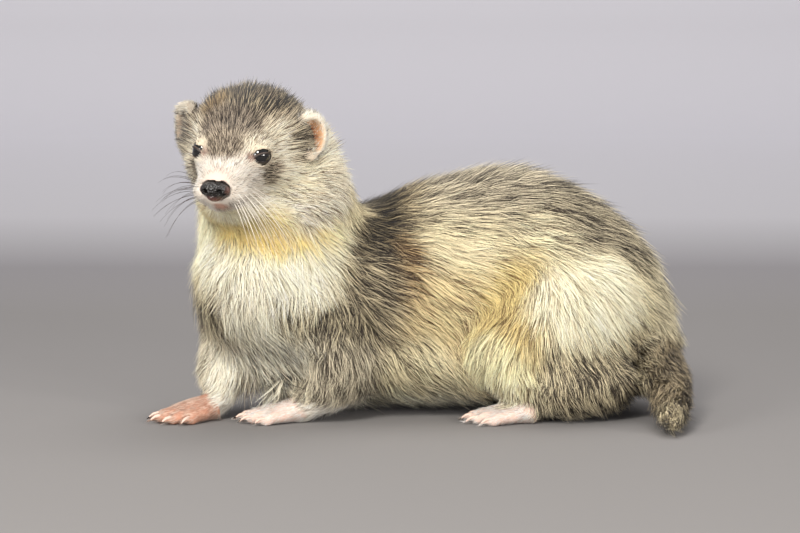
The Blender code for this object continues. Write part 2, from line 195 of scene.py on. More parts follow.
rise = math.radians(CAMERA_RISE)
looking = Vector((0, math.cos(rise), -math.sin(rise)))
picture_up = Vector((0, math.sin(rise), math.cos(rise)))
aim = Vector((PICTURE[0] / 2 - FLOOR_POINT_PIXEL[0], 0, 0)) / PIXELS_PER_METRE
aim += picture_up * (FLOOR_POINT_PIXEL[1] - PICTURE[1] / 2) / PIXELS_PER_METRE
aim += shift * MM
bpy.ops.object.camera_add(location=aim - looking * CAMERA_DISTANCE)
camera = bpy.context.object
camera.rotation_euler = looking.to_track_quat("-Z", "Y").to_euler()
camera.data.lens = PIXELS_PER_METRE * CAMERA_DISTANCE * camera.data.sensor_width / PICTURE[0]
bpy.context.scene.camera = camera
print("lens", round(camera.data.lens, 1), "mm")

# %% [markdown]
# The skin is one closed mesh made from the solids of flesh. They lie 0.3 mm apart, so copies of them are
# swollen a little, joined and remeshed, which closes the seams. A remesh in voxels was chosen because it
# doesn't care how the solids were cut, where a Boolean union would keep their facets.

# %% One skin from the solids of flesh
FLESH = ["head", "neck", "torso", "tail"]
FLESH += [part + "_" + SIDE_NAMES[side] for part in ("foreleg", "forepaw", "hindleg", "hindfoot")
          for side in (RIGHT, LEFT)]
SEAM_SWELL = 0.2
SKIN_VOXEL = 1.2


def copy_node(name):
    twin = bpy.data.objects.new("copy_" + name, frame["nodes"][name].data.copy())
    bpy.context.scene.collection.objects.link(twin)
    select_only(twin)
    bpy.ops.object.mode_set(mode="EDIT")
    bpy.ops.mesh.select_all(action="SELECT")
    bpy.ops.mesh.remove_doubles(threshold=0.00001)
    bpy.ops.object.mode_set(mode="OBJECT")
    return twin


copies = [copy_node(name) for name in FLESH]
bpy.ops.object.select_all(action="DESELECT")
for twin in copies:
    twin.select_set(True)
bpy.context.view_layer.objects.active = copies[0]
bpy.ops.object.join()
skin = bpy.context.object
skin.name = skin.data.name = "skin"
swell = skin.modifiers.new("swell", "DISPLACE")
swell.mid_level = 0
swell.strength = SEAM_SWELL * MM
remesh = skin.modifiers.new("remesh", "REMESH")
remesh.mode = "VOXEL"
remesh.voxel_size = SKIN_VOXEL * MM
soften = skin.modifiers.new("soften", "SMOOTH")
soften.factor = 0.5
soften.iterations = 3
apply_modifiers(skin)
skin.data.materials.clear()
print("skin:", len(skin.data.polygons), "faces")


# %% [markdown]
# Numpy works on whole arrays at once, which is far faster than a loop over points. These helpers read a mesh
# as arrays, and make fields on its points: one number, colour or direction for each.

# %% Read the skin as arrays
def read_mesh(item):
    """Points and normals in millimetres, edges and triangles."""
    mesh = item.data
    count = len(mesh.vertices)
    points = np.empty(count * 3)
    mesh.vertices.foreach_get("co", points)
    normals = np.empty(count * 3)
    mesh.vertices.foreach_get("normal", normals)
    edges = np.empty(len(mesh.edges) * 2, int)
    mesh.edges.foreach_get("vertices", edges)
    mesh.calc_loop_triangles()
    triangles = np.empty(len(mesh.loop_triangles) * 3, int)
    mesh.loop_triangles.foreach_get("vertices", triangles)
    return (points.reshape(-1, 3) / MM, normals.reshape(-1, 3), edges.reshape(-1, 2),
            triangles.reshape(-1, 3))


def blur(values, edges, rounds):
    """Each point's value becomes the mean of its own and its neighbours', so many times over."""
    count = len(values)
    degree = np.bincount(edges.ravel(), minlength=count) + 1.0
    flat = values.reshape(count, -1).astype(float)
    for _ in range(rounds):
        total = flat.copy()
        for column in range(flat.shape[1]):
            total[:, column] += np.bincount(edges[:, 0], flat[edges[:, 1], column], count)
            total[:, column] += np.bincount(edges[:, 1], flat[edges[:, 0], column], count)
        flat = total / degree[:, None]
    return flat.reshape(values.shape)


def unit(vectors):
    return vectors / np.maximum(np.linalg.norm(vectors, axis=-1, keepdims=True), 1e-9)


def ramp(values, *stops):
    """Values read off a line through (value, result) stops."""
    return np.interp(values, [stop[0] for stop in stops], [stop[1] for stop in stops])


def step(low, high, values):
    t = np.clip((values - low) / (high - low), 0, 1)
    return t * t * (3 - 2 * t)


def soft_blob(places, centre, radii):
    """1 inside an ellipsoid and 0 well outside it, with a soft edge."""
    away = np.linalg.norm((places - np.array(centre, float)) / np.array(radii, float), axis=1)
    return step(1.3, 0.7, away)


points, normals, edges, triangles = read_mesh(skin)
print("points of the skin:", len(points))

# %% [markdown]
# Each point of the skin belongs to a named part of the animal. The part is that of the nearest solid, and
# then the parts are blurred along the skin's edges, so that the coat's depth, length and colour change softly
# from one to the next.

# %% Parts of the animal
PART_BLUR = 6
owners = KDTree(sum(len(frame["nodes"][name].data.vertices) for name in FLESH))
labels = []
for number, name in enumerate(FLESH):
    for vertex in frame["nodes"][name].data.vertices:
        owners.insert(vertex.co, len(labels))
        labels.append(number)
owners.balance()
nearest = np.array([labels[owners.find(Vector(p) * MM)[1]] for p in points])
parts = blur(np.eye(len(FLESH))[nearest], edges, PART_BLUR)
print("largest part:", FLESH[int(parts.sum(0).argmax())])


# %% [markdown]
# A coat is deep on the back and flanks and almost nothing on the nose and feet. The skin is pushed in by
# that depth in small steps, with a light blur after each, which keeps creases from folding over. Pushing it
# in one go would turn the skin inside out between a leg and the belly.

# %% Push the skin in by the coat's depth
def part_of(name):
    """How much each point belongs to a part, both sides together where it has two."""
    return sum(parts[:, i] for i, full in enumerate(FLESH) if full.split("_")[0] == name)


def in_head(places):
    """Places in millimetres, in the head's frame."""
    inverse = np.array(head_frame.inverted())
    return places @ inverse[:3, :3].T + inverse[:3, 3]


def coat_depth(places):
    head = in_head(places)
    face = ramp(head[:, 1], (-30, 5.0), (-6, 4.2), (8, 2.6), (17, 1.4), (27, 0.9), (40, 0.5))
    for side in (RIGHT, LEFT):
        away = np.linalg.norm(head - np.array(mirrored(EYE, side)), axis=1)
        face = np.minimum(face, ramp(away, (5.5, 0.25), (14, 5.0)))
    foreleg = ramp(places[:, 2], (8, 1.5), (35, 3.5), (60, 5.0))
    hindleg = ramp(places[:, 2], (4, 2.0), (20, 4.0), (45, 5.5))
    depth = part_of("head") * face + part_of("neck") * 5.2 + part_of("torso") * 6.0
    depth += part_of("tail") * 4.0 + part_of("foreleg") * foreleg + part_of("hindleg") * hindleg
    return depth + (part_of("forepaw") + part_of("hindfoot")) * 0.3


PUSH_STEPS = 6
PUSH_SOFTNESS = 0.6
DEEPEST = 6.0
DEPTH_BLUR = 4
depth = blur(coat_depth(points), edges, DEPTH_BLUR)
for _ in range(PUSH_STEPS):
    moved = points - normals * (depth[:, None] / PUSH_STEPS)
    softened = blur(moved, edges, 1)
    mix = np.clip(depth / DEEPEST, 0, 1)[:, None] * PUSH_SOFTNESS
    moved = moved * (1 - mix) + softened * mix
    skin.data.vertices.foreach_set("co", (moved * MM).ravel())
    skin.data.update()
    points, normals, edges, triangles = read_mesh(skin)
design = points - np.array(shift)
head_places = in_head(points)
print("coat depth from", round(depth.min(), 2), "to", round(depth.max(), 2), "mm")

# %% [markdown]
# The lie of the coat. Hair on the head runs back from the nose, on the neck and chest it falls, on the back
# and flanks it sweeps back and a little down, and on the thigh it fans out from the hip. Each part gets a
# simple rule of its own.

# %% Which way the hair lies
NOSE_TIP = (0, 38.6, -9)
TRUNK_MIDDLE = 5
THIGH_FAN = (50, 90)
CHEST_MIDDLE = -68
FOOT_HEADINGS = {"forepaw_left": 97, "forepaw_right": 116, "hindfoot_left": 92, "hindfoot_right": 88}
# Centre and radii of two places with hair of their own: before the ears, and low on the chest.
BEFORE_EAR = ((22.5, 2, 6), (4.5, 6, 11))
CHEST_FRINGE = ((-62, -24, 24), (24, 18, 12))
TAIL_LINE = [(101, 2, 25), (105, -15, 17.5), (105.5, -34, 12.8), (104.5, -52, 8.2), (102, -72, 5.6)]


def heading(degrees):
    turn = math.radians(degrees)
    return np.array((-math.sin(turn), math.cos(turn), -0.25))


def lie_of_head(head):
    away = unit(head - np.array(NOSE_TIP))
    back = np.array((0, -1, 0.05))
    fall = np.array((0, -0.45, -1))
    cheek = (step(2, -14, head[:, 2]) * step(16, -6, head[:, 1]))[:, None]
    far = step(34, 8, head[:, 1])[:, None]
    way = away * (1 - far) + (back * 0.6 + away * 0.4) * far
    way = way * (1 - cheek) + (fall * 0.7 + away * 0.3) * cheek
    spin = np.array(head_frame.to_3x3())
    return unit(way) @ spin.T


def lie_of_torso(place):
    x, y, z = place.T
    fall = ramp(z, (8, 2.4), (26, 1.2), (50, 0.55), (80, 0.36), (105, 0.1))
    chest = step(-22, -50, x)
    way = np.stack([np.ones_like(x), np.zeros_like(x), -fall], 1)
    return unit(way) * (1 - chest[:, None]) + lie_of_neck(place) * chest[:, None]


def lie_of_neck(place):
    aside = (place[:, 0] - CHEST_MIDDLE) * 0.014
    return unit(np.stack([0.08 + aside, -0.1 * np.ones_like(aside), -np.ones_like(aside)], 1))


def lie_of_thigh(place):
    x, y, z = place.T
    fan = np.stack([x - THIGH_FAN[0], np.zeros_like(x), z - THIGH_FAN[1]], 1)
    shank = step(26, 10, z)[:, None]
    return unit(fan) * (1 - shank) + np.array((0.25, 0, -1)) * shank


def lie_of_tail(place):
    line = np.array(TAIL_LINE, float)
    middles = (line[:-1] + line[1:]) / 2
    ways = unit(line[1:] - line[:-1])
    gap = np.linalg.norm(place[:, None] - middles[None], axis=2)
    weight = np.exp(-(gap / 14) ** 2) + 1e-9
    return unit((weight[:, :, None] * ways[None]).sum(1))


print("rules for head, torso, neck, thigh and tail")

# %% [markdown]
# The parts' shares join the rules into one flow over the skin. Where the skin faces the floor the hair is
# swept back, the hair before the ears stands off the skin, and all the rest is pressed flat on it.

# %% One flow over the skin
WRIST_HEADING = 105
LIE_BLUR = 10
lie = part_of("head")[:, None] * lie_of_head(head_places)
lie += part_of("torso")[:, None] * lie_of_torso(design)
lie += part_of("hindleg")[:, None] * lie_of_thigh(design)
lie += part_of("tail")[:, None] * lie_of_tail(design)
lie += part_of("neck")[:, None] * lie_of_neck(design)
wrist = step(17, 8, design[:, 2])[:, None]
foreleg_way = np.array((-0.12, -0.1, -1)) * (1 - wrist) + heading(WRIST_HEADING) * wrist
lie += part_of("foreleg")[:, None] * foreleg_way
for name, degrees in FOOT_HEADINGS.items():
    lie += parts[:, [FLESH.index(name)]] * heading(degrees)
lie = unit(lie) + np.clip(-normals[:, 2:], 0, 1) * np.array((0.9, 0, 0))
lie = blur(unit(lie), edges, LIE_BLUR)
lie -= normals * (lie * normals).sum(1, keepdims=True)
both_ears = np.abs(head_places) * (1, 0, 0) + head_places * (0, 1, 1)
before_ears = soft_blob(both_ears, *BEFORE_EAR) * part_of("head")
lie = unit(unit(lie) + normals * before_ears[:, None] * 0.5)
print("lie of the coat at", len(lie), "points")

# %% [markdown]
# Markings. This is a sable ferret in a pale coat: cream underfur everywhere, and dark guard hairs whose
# share changes from place to place. Each marking is a soft ellipsoid that says which cream the underfur has,
# which dark the guard hairs have, and what share of the hairs are dark. Skin and coat read the same list.

# %% The markings
# Each: frame, centre, radii, pale colour, dark colour, share of dark hairs.
BODY_MARKS = [
    ("back", (20, 5, 112), (115, 60, 28), "#D6CAAF", "#3A312A", 0.68),
    ("withers", (-28, 0, 90), (20, 50, 28), "#BCAC88", "#3E3125", 0.72),
    ("pale streak", (46, -36, 84), (16, 30, 8), "#EEE0BC", "#6A5A48", 0.3),
    ("pale streak in front", (14, -36, 72), (22, 30, 8), "#EADBB6", "#6A5A48", 0.2),
    ("flank", (2, 0, 50), (36, 60, 20), "#E8D2A2", "#6A4E34", 0.34),
    ("shoulder band", (-28, -5, 84), (11, 60, 26), "#7C6F54", "#1A1410", 1.0),
    ("brown behind the shoulder", (-15, -32, 68), (7, 20, 14), "#B89C70", "#452F1D", 0.7),
    ("shoulder sweep", (-32, -20, 52), (18, 30, 26), "#C2B494", "#3A3128", 0.76),
    ("behind the elbow", (-8, -20, 26), (16, 30, 18), "#E2D4AE", "#4C4032", 0.42),
    ("yellow of the groin", (34, -24, 44), (17, 60, 30), "#DFC788", "#7E6138", 0.26),
    ("lower thigh", (82, -20, 12), (56, 60, 30), "#D8CAA8", "#3E342A", 0.72),
    ("rear of the back", (80, 5, 92), (38, 38, 28), "#CDC1A4", "#3A312A", 0.76),
    ("rump", (110, 5, 56), (22, 28, 52), "#DED2B2", "#4A4035", 0.46),
    ("under the tail", (104, 5, 12), (30, 60, 16), "#CFC2A0", "#3E342B", 0.62),
    # Painted highlight: a near-white patch where the haunch bulges most toward the light, on both sides.
    ("haunch highlight", (70, -38, 59), (24, 32, 19), "#FAEDCC", "#BFAF90", 0.03),
    ("knee", (33, -24, 26), (15, 60, 18), "#F6E8BA", "#8A7656", 0.14),
    ("belly hem", (0, 0, 4), (60, 60, 16), "#F0E6C8", "#3A3027", 0.5),
    ("brisket", (-58, -14, 26), (24, 40, 19), "#F0E6CF", "#5F5446", 0.34),
]
CHEST_MARKS = [
    ("breast sides", (-70, 0, 58), (60, 60, 48), "#C4B898", "#342B24", 0.76),
    ("lower breast", (-66, -26, 26), (30, 34, 26), "#EEE5CE", "#51473B", 0.36),
    ("under the chest", (-60, 0, 8), (26, 24, 17), "#EADFC4", "#6B5E4C", 0.2),
    ("neck front", (-76, -30, 92), (48, 48, 26), "#FCEDC4", "#A08E6C", 0.07),
    ("bib", (-58, -46, 76), (39, 34, 19), "#FCF2D6", "#A8987A", 0.04),
    ("bib point", (-72, -44, 58), (11, 30, 13), "#F4EAD0", "#8C7E68", 0.14),
    ("throat", (-66, -50, 91), (31, 26, 14), "#EDC973", "#A8843F", 0.1),
    ("far edge of the neck", (-102, 4, 78), (12, 18, 36), "#CDBFA0", "#352C24", 0.6),
]
FACE_MARKS = [
    ("muzzle", (0, 30, -9), (20, 20, 15), "#E8DDD0", "#8C7A6C", 0.17),
    ("back of the head", (0, -34, 4), (34, 20, 26), "#DACAA2", "#43382C", 0.5),
    ("cheeks", (-16, -8, -12), (16, 18, 12), "#F3E4C4", "#5A4532", 0.32),
    ("far cheek edge", (25, 0, -8), (6, 12, 14), "#D8CBB0", "#33291F", 0.6),
    ("crown", (0, -8, 27), (27, 26, 21), "#AC9D80", "#201913", 0.94),
    ("crown spot left", (-6, -4, 26), (7, 6, 8), "#8F8068", "#2A211A", 0.95),
    ("crown spot right", (5, 1, 26), (6, 6, 8), "#8F8068", "#2A211A", 0.95),
    ("brown of the crown", (12, 5, 20), (6, 7, 8), "#A08A66", "#57442F", 0.7),
    ("forehead", (3, 13, 12), (13, 9, 10), "#A09280", "#372C24", 0.78),
    ("over the left eye", (-17.5, 9, 9.5), (8, 7, 5), "#E8DCC4", "#7E6A54", 0.24),
    ("between the eyes", (1.5, 20, 4.5), (8, 8, 7), "#B9AB96", "#4C3F34", 0.72),
    ("bridge of the nose", (0, 36, -4.0), (5.5, 4.5, 4.5), "#DDC9BC", "#B59C90", 0.2),
    ("mask left", (-14.6, 14.0, -5.6), (4.3, 5, 5.4), "#C9BAA2", "#1F1611", 0.84),
    ("mask right", (15.0, 12.5, -4.8), (4.3, 5, 5.4), "#C9BAA2", "#1F1611", 0.84),
    ("round the left eye", (-12.2, 16.4, 2.4), (5.2, 5.2, 4.6), "#C2B29A", "#2E231C", 0.42),
    ("round the right eye", (12.2, 16.4, 2.4), (5.2, 5.2, 4.6), "#C2B29A", "#2E231C", 0.42),
    ("eye corner left", (-9.0, 20.6, 1.6), (2.2, 2.6, 2.0), "#A8887C", "#4A3A30", 0.5),
    ("eye corner right", (9.0, 20.6, 1.6), (2.2, 2.6, 2.0), "#A8887C", "#4A3A30", 0.5),
    ("before the left ear", (-22.5, 1, 7), (4, 6, 10), "#D2C4A8", "#2A211B", 0.68),
    ("before the right ear", (22.5, 1, 6), (4, 6, 13), "#D2C4A8", "#2A211B", 0.68),
    ("throat under the chin", (0, 4, -31), (26, 24, 12), "#E8CF92", "#B2945A", 0.06),
    ("chin", (0, 22, -22), (11, 12, 4.5), "#EADFC0", "#A88C55", 0.03),
    ("lips", (-1.2, 34.5, -16.8), (3.4, 5, 1.6), "#C09A89", "#8A685A", 0.2),
]
print("marks on body, chest and face:", [len(marks) for marks in (BODY_MARKS, CHEST_MARKS, FACE_MARKS)])

# %% [markdown]
# Each mark is mixed over those before it, so a later one wins where they meet. Those of the body are the same
# on both sides, those of the chest and face follow the photo. Legs, tail and feet go by their named parts.


# %% Read the markings at any place
def mark(state, weight, pale, dark, share):
    weight = weight[:, None]
    state["pale"] = state["pale"] * (1 - weight) + np.array(linear(pale)) * weight
    state["dark"] = state["dark"] * (1 - weight) + np.array(linear(dark)) * weight
    state["share"] = state["share"] * (1 - weight[:, 0]) + share * weight[:, 0]


def markings(places):
    """Pale colour, dark colour and share of dark hairs at each place of the skin."""
    body = places - np.array(shift)
    both_sides = body.copy()
    both_sides[:, 1] = TRUNK_MIDDLE - np.abs(body[:, 1] - TRUNK_MIDDLE)
    head = in_head(places)
    count = len(places)
    state = {"pale": np.tile(linear("#E6D8B2"), (count, 1)), "dark": np.tile(linear("#554A3D"), (count, 1)),
             "share": np.full(count, 0.32)}
    for _, centre, radii, pale, dark, share in BODY_MARKS:
        mark(state, soft_blob(both_sides, centre, radii), pale, dark, share)
    neck = np.clip(part_of("neck") + part_of("foreleg") + part_of("torso") * step(-34, -48, body[:, 0]), 0, 1)
    for _, centre, radii, pale, dark, share in CHEST_MARKS:
        mark(state, neck * soft_blob(body, centre, radii), pale, dark, share)
    between_legs = step(-96, -86, body[:, 0]) * step(-62, -78, body[:, 0])
    # Forelegs: dark below the elbow, cream where they face each other, pale at the wrist.
    mark(state, part_of("foreleg") * step(48, 34, body[:, 2]), "#DDD1B6", "#3F352C", 0.6)
    mark(state, part_of("foreleg") * step(46, 30, body[:, 2]) * between_legs, "#FAF0D8", "#8E7C5E", 0.18)
    mark(state, part_of("foreleg") * step(14, 8, body[:, 2]), "#F2E8DA", "#A8988A", 0.1)
    # Tail: dark, and paler toward its tip. Head: cream, and then its own marks over that.
    mark(state, part_of("tail"), "#A8987A", "#352C24", 0.74)
    mark(state, part_of("tail") * step(-42, -58, body[:, 1]), "#D2C4A2", "#4A3F34", 0.45)
    mark(state, step(0.2, 0.7, part_of("head")), "#F0E4CC", "#86705A", 0.26)
    for _, centre, radii, pale, dark, share in FACE_MARKS:
        mark(state, step(0.05, 0.5, part_of("head")) * soft_blob(head, centre, radii), pale, dark, share)
    # Feet: thinly haired and pink, the right forepaw stained orange.
    mark(state, step(0.3, 0.8, part_of("forepaw") + part_of("hindfoot")), "#F3E6DC", "#E0BFB2", 0.15)
    orange = parts[:, FLESH.index("forepaw_right")] * step(0.3, 0.8, part_of("forepaw"))
    mark(state, 0.8 * orange, "#D0AA94", "#A4694E", 0.42)
    return state


coat_state = markings(points)
print("share of dark hairs, on average:", round(coat_state["share"].mean(), 2))

# %% [markdown]
# How long, how wide and how close the tufts are. On a real ferret the hairs of the face are a few
# millimetres long and those of the rump over twenty. A tuft stands for some tens of hairs, so it is wider
# than one hair, and the numbers keep each part covered several times over.


# %% Length, width and closeness of the tufts
CROWN_LENGTH = 5.4
EAR_HAIR_EXTRA = 2.5
FRINGE_EXTRA = 5.0
OVER_HIND_FOOT = ((34, -38, 17), (20, 16, 9))


def coat_sizes(places):
    """Length in mm, width in mm and tufts on each square millimetre, at every point."""
    head = in_head(places)
    body = places - np.array(shift)
    face = [ramp(head[:, 1], (-32, 10.0), (-6, 7.0), (8, 5.2), (18, 3.6), (34, 1.9)),
            ramp(head[:, 1], (-32, 0.38), (-6, 0.36), (8, 0.32), (18, 0.28), (34, 0.22)),
            ramp(head[:, 1], (-32, 1.5), (-6, 2.0), (8, 2.6), (18, 3.4), (34, 4.4))]
    crown = step(12, 22, head[:, 2])
    face[0] = face[0] * (1 - crown) + np.minimum(face[0], CROWN_LENGTH) * crown
    for side in (RIGHT, LEFT):
        away = np.linalg.norm(head - np.array(mirrored(EYE, side)), axis=1)
        face[0] = np.minimum(face[0], ramp(away, (4.6, 1.4), (7, 3.2), (10, 5.0), (20, 12.0)))
    low_leg = step(34, 12, body[:, 2])
    sizes = []
    # Rows: length, width, closeness. The legs have two values, for their upper and lower ends.
    for row, (neck, torso, foreleg, paw, hindleg, shank, tail) in enumerate([
            (13.0, 17.0, 11.0, 7.5, 15.0, 10.0, 12.0),
            (0.38, 0.4, 0.36, 0.3, 0.4, 0.36, 0.34),
            (1.5, 1.25, 1.45, 1.9, 1.25, 1.45, 1.6)]):
        value = part_of("head") * face[row] + part_of("neck") * neck + part_of("torso") * torso
        value += part_of("foreleg") * (foreleg * (1 - low_leg) + paw * low_leg) + part_of("tail") * tail
        value += part_of("hindleg") * (hindleg * (1 - low_leg) + shank * low_leg)
        foot = (3.8, 0.22, 3.0)[row]
        sizes.append(value + (part_of("forepaw") + part_of("hindfoot")) * foot)
    length, width, density = sizes
    length = length + EAR_HAIR_EXTRA * before_ears + FRINGE_EXTRA * soft_blob(body, *CHEST_FRINGE)
    both_sides = np.column_stack([body[:, 0], TRUNK_MIDDLE - np.abs(body[:, 1] - TRUNK_MIDDLE), body[:, 2]])
    length = length * (1 - 0.6 * soft_blob(both_sides, *OVER_HIND_FOOT))
    sole = step(1.6, 0.6, body[:, 2]) * (normals[:, 2] < -0.4)
    under_nose = step(5.6, 4.4, np.abs(head[:, 0])) * step(33.5, 35.0, head[:, 1])
    lips = soft_blob(head, (-1.9, 35, -16.7), (3.6, 4.5, 1.2))
    return length, width, density * (1 - sole) * (1 - under_nose) * (1 - 0.65 * lips)


length, width, density = coat_sizes(points)
print("tuft length from", round(length.min(), 1), "to", round(length.max(), 1), "mm")

# %% [markdown]
# Nothing on an animal is even, so several numbers are stirred by noise. Lattice noise changes smoothly from
# place to place. Drawn out along the lie it makes streaks, as of hair in locks. All of it is seeded, so each
# run gives the same coat.


# %% Noise
NOISE_CELLS = 32
rng = np.random.default_rng(7)


def lattice_noise(places, size, seed):
    """Smooth noise from -1 to 1, whose bumps are about the given size in millimetres."""
    table = np.random.default_rng(seed).uniform(-1, 1, (NOISE_CELLS,) * 3)
    cell = np.floor(places / size).astype(int)
    inside = places / size - cell
    inside = inside * inside * (3 - 2 * inside)
    total = np.zeros(len(places))
    for corner in range(8):
        bits = np.array([(corner >> axis) & 1 for axis in range(3)])
        x, y, z = ((cell + bits) % NOISE_CELLS).T
        total += np.where(bits, inside, 1 - inside).prod(1) * table[x, y, z]
    return total


def streaks(places, ways, size, reach, seed):
    """Noise drawn out along the lie: summed at places up and down each tuft's line, and evened in strength."""
    offsets = np.linspace(-reach, reach, 7)
    total = sum(lattice_noise(places + ways * offset, size, seed) for offset in offsets)
    return total / math.sqrt(len(offsets))


print("noise at the first point:", round(float(lattice_noise(points[:1], 7.0, 21)[0]), 2))

# %% [markdown]
# A ground is what a coat grows on: a mesh as arrays, with the fields at each of its points. The big skin is
# one ground and each ear will be another, so the functions that plant and comb take any ground.


# %% Grounds, and roots planted on them
def make_ground(points, normals, triangles, **fields):
    ground = dict(fields, points=points, normals=normals, triangles=triangles)
    ground["tree"] = BVHTree.FromPolygons(points.tolist(), triangles.tolist())
    return ground


def field(ground, name, chosen, weights):
    """A field read at places inside triangles."""
    corners = ground[name][ground["triangles"][chosen]]
    shape = weights.shape + (1,) * (corners.ndim - 2)
    return (corners * weights.reshape(shape)).sum(1)


def plant(ground, close):
    """Roots spread evenly by area and closeness: a triangle and a place in it for each."""
    corners = ground["points"][ground["triangles"]]
    area = np.linalg.norm(np.cross(corners[:, 1] - corners[:, 0], corners[:, 2] - corners[:, 0]), axis=1) / 2
    expected = np.cumsum(area * (ground["density"] * close)[ground["triangles"]].mean(1))
    count = int(expected[-1])
    at = (np.arange(count) + rng.uniform(0, 1, count)) * expected[-1] / max(count, 1)
    chosen = np.minimum(np.searchsorted(expected, at), len(expected) - 1)
    a, b = rng.uniform(0, 1, (2, count))
    over = a + b > 1
    a[over], b[over] = 1 - a[over], 1 - b[over]
    return chosen, np.stack([1 - a - b, a, b], 1)


print("a ground has a search tree too, for the nearest place on it")

# %% [markdown]
# Combing walks each tuft over its ground along the lie, one step for each ring after the root. A tuft that is
# bound to the ground follows its bends. A free one leaves it and goes on straight, as fringes and strays do.


# %% Combing
# How far the roots go below the skin, in mm, so that no tuft floats.
ROOT_SUNK = 0.4


def turn_about(vectors, axes, angles):
    """Each vector turned about its own axis, square to it."""
    cosine, sine = np.cos(angles)[:, None], np.sin(angles)[:, None]
    return vectors * cosine + np.cross(axes, vectors) * sine


def comb(ground, roots, root_normals, ways, bend, reach, heights, free):
    """The line of each tuft over the ground. Free hair leaves the ground and goes on straight."""
    normal_of = ground["normals"][ground["triangles"]].mean(1)
    way_of = ground["lie"][ground["triangles"]].mean(1)
    line = [roots - root_normals * ROOT_SUNK]
    ups = [root_normals]
    first_way = turn_about(ways, root_normals, bend)
    place, way = roots, first_way
    steps = heights.shape[1]
    for number in range(steps):
        hits = [ground["tree"].find_nearest(Vector(p)) for p in place + way * reach[:, None] / steps]
        place = np.array([hit[0][:] for hit in hits])
        index = np.array([hit[2] for hit in hits])
        up = unit(normal_of[index])
        way = turn_about(unit(way_of[index]), up, bend)
        on_ground = place + up * heights[:, [number]]
        straight = roots + first_way * (reach * (number + 1) / steps)[:, None]
        straight = straight + root_normals * heights[:, [number]]
        line.append(on_ground * (1 - free) + straight * free)
        ups.append(up)
    return np.stack(line, 1), np.stack(ups, 1)


print("roots go", ROOT_SUNK, "mm below the skin")

# %% [markdown]
# A coat parts into locks. A few tufts are leaders, and the tips of the others are drawn to the nearest one,
# mostly to the leader's own tip and a little only to its direction.


# %% Locks
CLUMP_SHARE = 0.05
LOCK_CURVE = 1.5
# The pull's two shares: to the leader's own tip, and to its direction.
TO_LEADER_TIP, TO_LEADER_WAY = 0.8, 0.2


def gather(line, roots, pull):
    """Tips drawn toward those of their clump's leader, as hair does where it parts into locks."""
    leaders = rng.choice(len(roots), max(1, int(len(roots) * CLUMP_SHARE)), replace=False)
    tree = KDTree(len(leaders))
    for leader in leaders:
        tree.insert(roots[leader], int(leader))
    tree.balance()
    clump = np.array([tree.find(p)[1] for p in roots])
    share = (np.linspace(0, 1, line.shape[1]) ** LOCK_CURVE)[None, :, None] * pull[:, None, None]
    offset = line[clump] - line[clump][:, :1] + line[:, :1]
    toward = line[clump] * TO_LEADER_TIP + offset * TO_LEADER_WAY
    return line * (1 - share) + toward * share


print("one tuft in", round(1 / CLUMP_SHARE), "leads a lock")

# %% [markdown]
# The shape of one tuft is a closed blade with three sides that tapers to a point. All blades of a piece are
# written as one mesh from arrays, since a hundred thousand objects would be far too slow to join.


# %% Blades
# Width at root and middle against the widest, how far a blade's sides turn from the light, and how low over
# the floor a point may lie, in mm.
TAPER = (0.8, 1.0)
SIDE_SHADE = 0.55
LOWEST = 0.15


def blade_faces(rings):
    """Triangles of one blade with so many rings, the last of which is its tip."""
    faces = [(0, 2, 1)]
    for ring in range(rings - 2):
        for side in range(3):
            a, b = ring * 3 + side, ring * 3 + (side + 1) % 3
            faces += [(a, b, b + 3), (a, b + 3, a + 3)]
    last = (rings - 2) * 3
    return np.array(faces + [(last + side, last + (side + 1) % 3, last + 3) for side in range(3)])


def blade_points(line, ups, width):
    """The corners of every blade, ring by ring and then the tip, and the way each corner faces the light.

    The corners face mostly as the skin does, so that a lock shades as one soft form and not as its facets.
    """
    along = np.diff(line, axis=1)
    across = unit(np.cross(ups[:, :-1], along))
    raised = unit(np.cross(along, across))
    half = width[:, None, None] / 2 * np.array(TAPER[-along.shape[1]:])[None, :, None]
    body = line[:, :-1]
    corners = [body + across * half, body + raised * half, body - across * half]
    rows = np.stack(corners, 2).reshape(len(line), -1, 3)
    leaning = across * SIDE_SHADE
    lights = np.stack([ups[:, :-1] + leaning, ups[:, :-1], ups[:, :-1] - leaning], 2)
    places = np.concatenate([rows, line[:, -1:]], 1)
    places[:, :, 2] = np.maximum(places[:, :, 2], LOWEST)
    return places, np.concatenate([lights.reshape(len(line), -1, 3), ups[:, -1:]], 1)


print("a blade with three rings has", len(blade_faces(3)), "faces")

# %% [markdown]
# The arrays go into the mesh with foreach_set. Each point keeps its colour, and its normal is set so that
# light falls on the coat as a whole.


# %% Write blades as one mesh
def write_mesh(name, places, lights, faces, colours, uvs):
    """One object of many closed blades, with a colour at each point and the map OFBake."""
    mesh = bpy.data.meshes.new(name)
    mesh.vertices.add(len(places))
    mesh.vertices.foreach_set("co", (places * MM).ravel().astype(np.float32))
    mesh.loops.add(faces.size)
    mesh.loops.foreach_set("vertex_index", faces.ravel().astype(np.int32))
    mesh.polygons.add(len(faces))
    mesh.polygons.foreach_set("loop_start", np.arange(0, faces.size, 3, dtype=np.int32))
    mesh.update(calc_edges=True)
    paint_points(mesh, colours)
    layer = mesh.uv_layers.new(name="OFBake")
    layer.data.foreach_set("uv", uvs[faces.ravel()].ravel())
    smooth_faces(mesh)
    mesh.normals_split_custom_set_from_vertices(unit(lights).tolist())
    return link_new(mesh)


print("each coat piece gets the map OFBake")

# %% [markdown]
# For the baked pictures each tuft needs a place of its own on a flat map. The map is an unwrap of the skin's
# own shape: a lighter copy is unwrapped by angle, each root finds its place on that, and the tuft becomes a
# patch about 0.003 across there.

# %% A map of the skin for the tufts
PATCH = 0.003
MAP_FACES = 7000


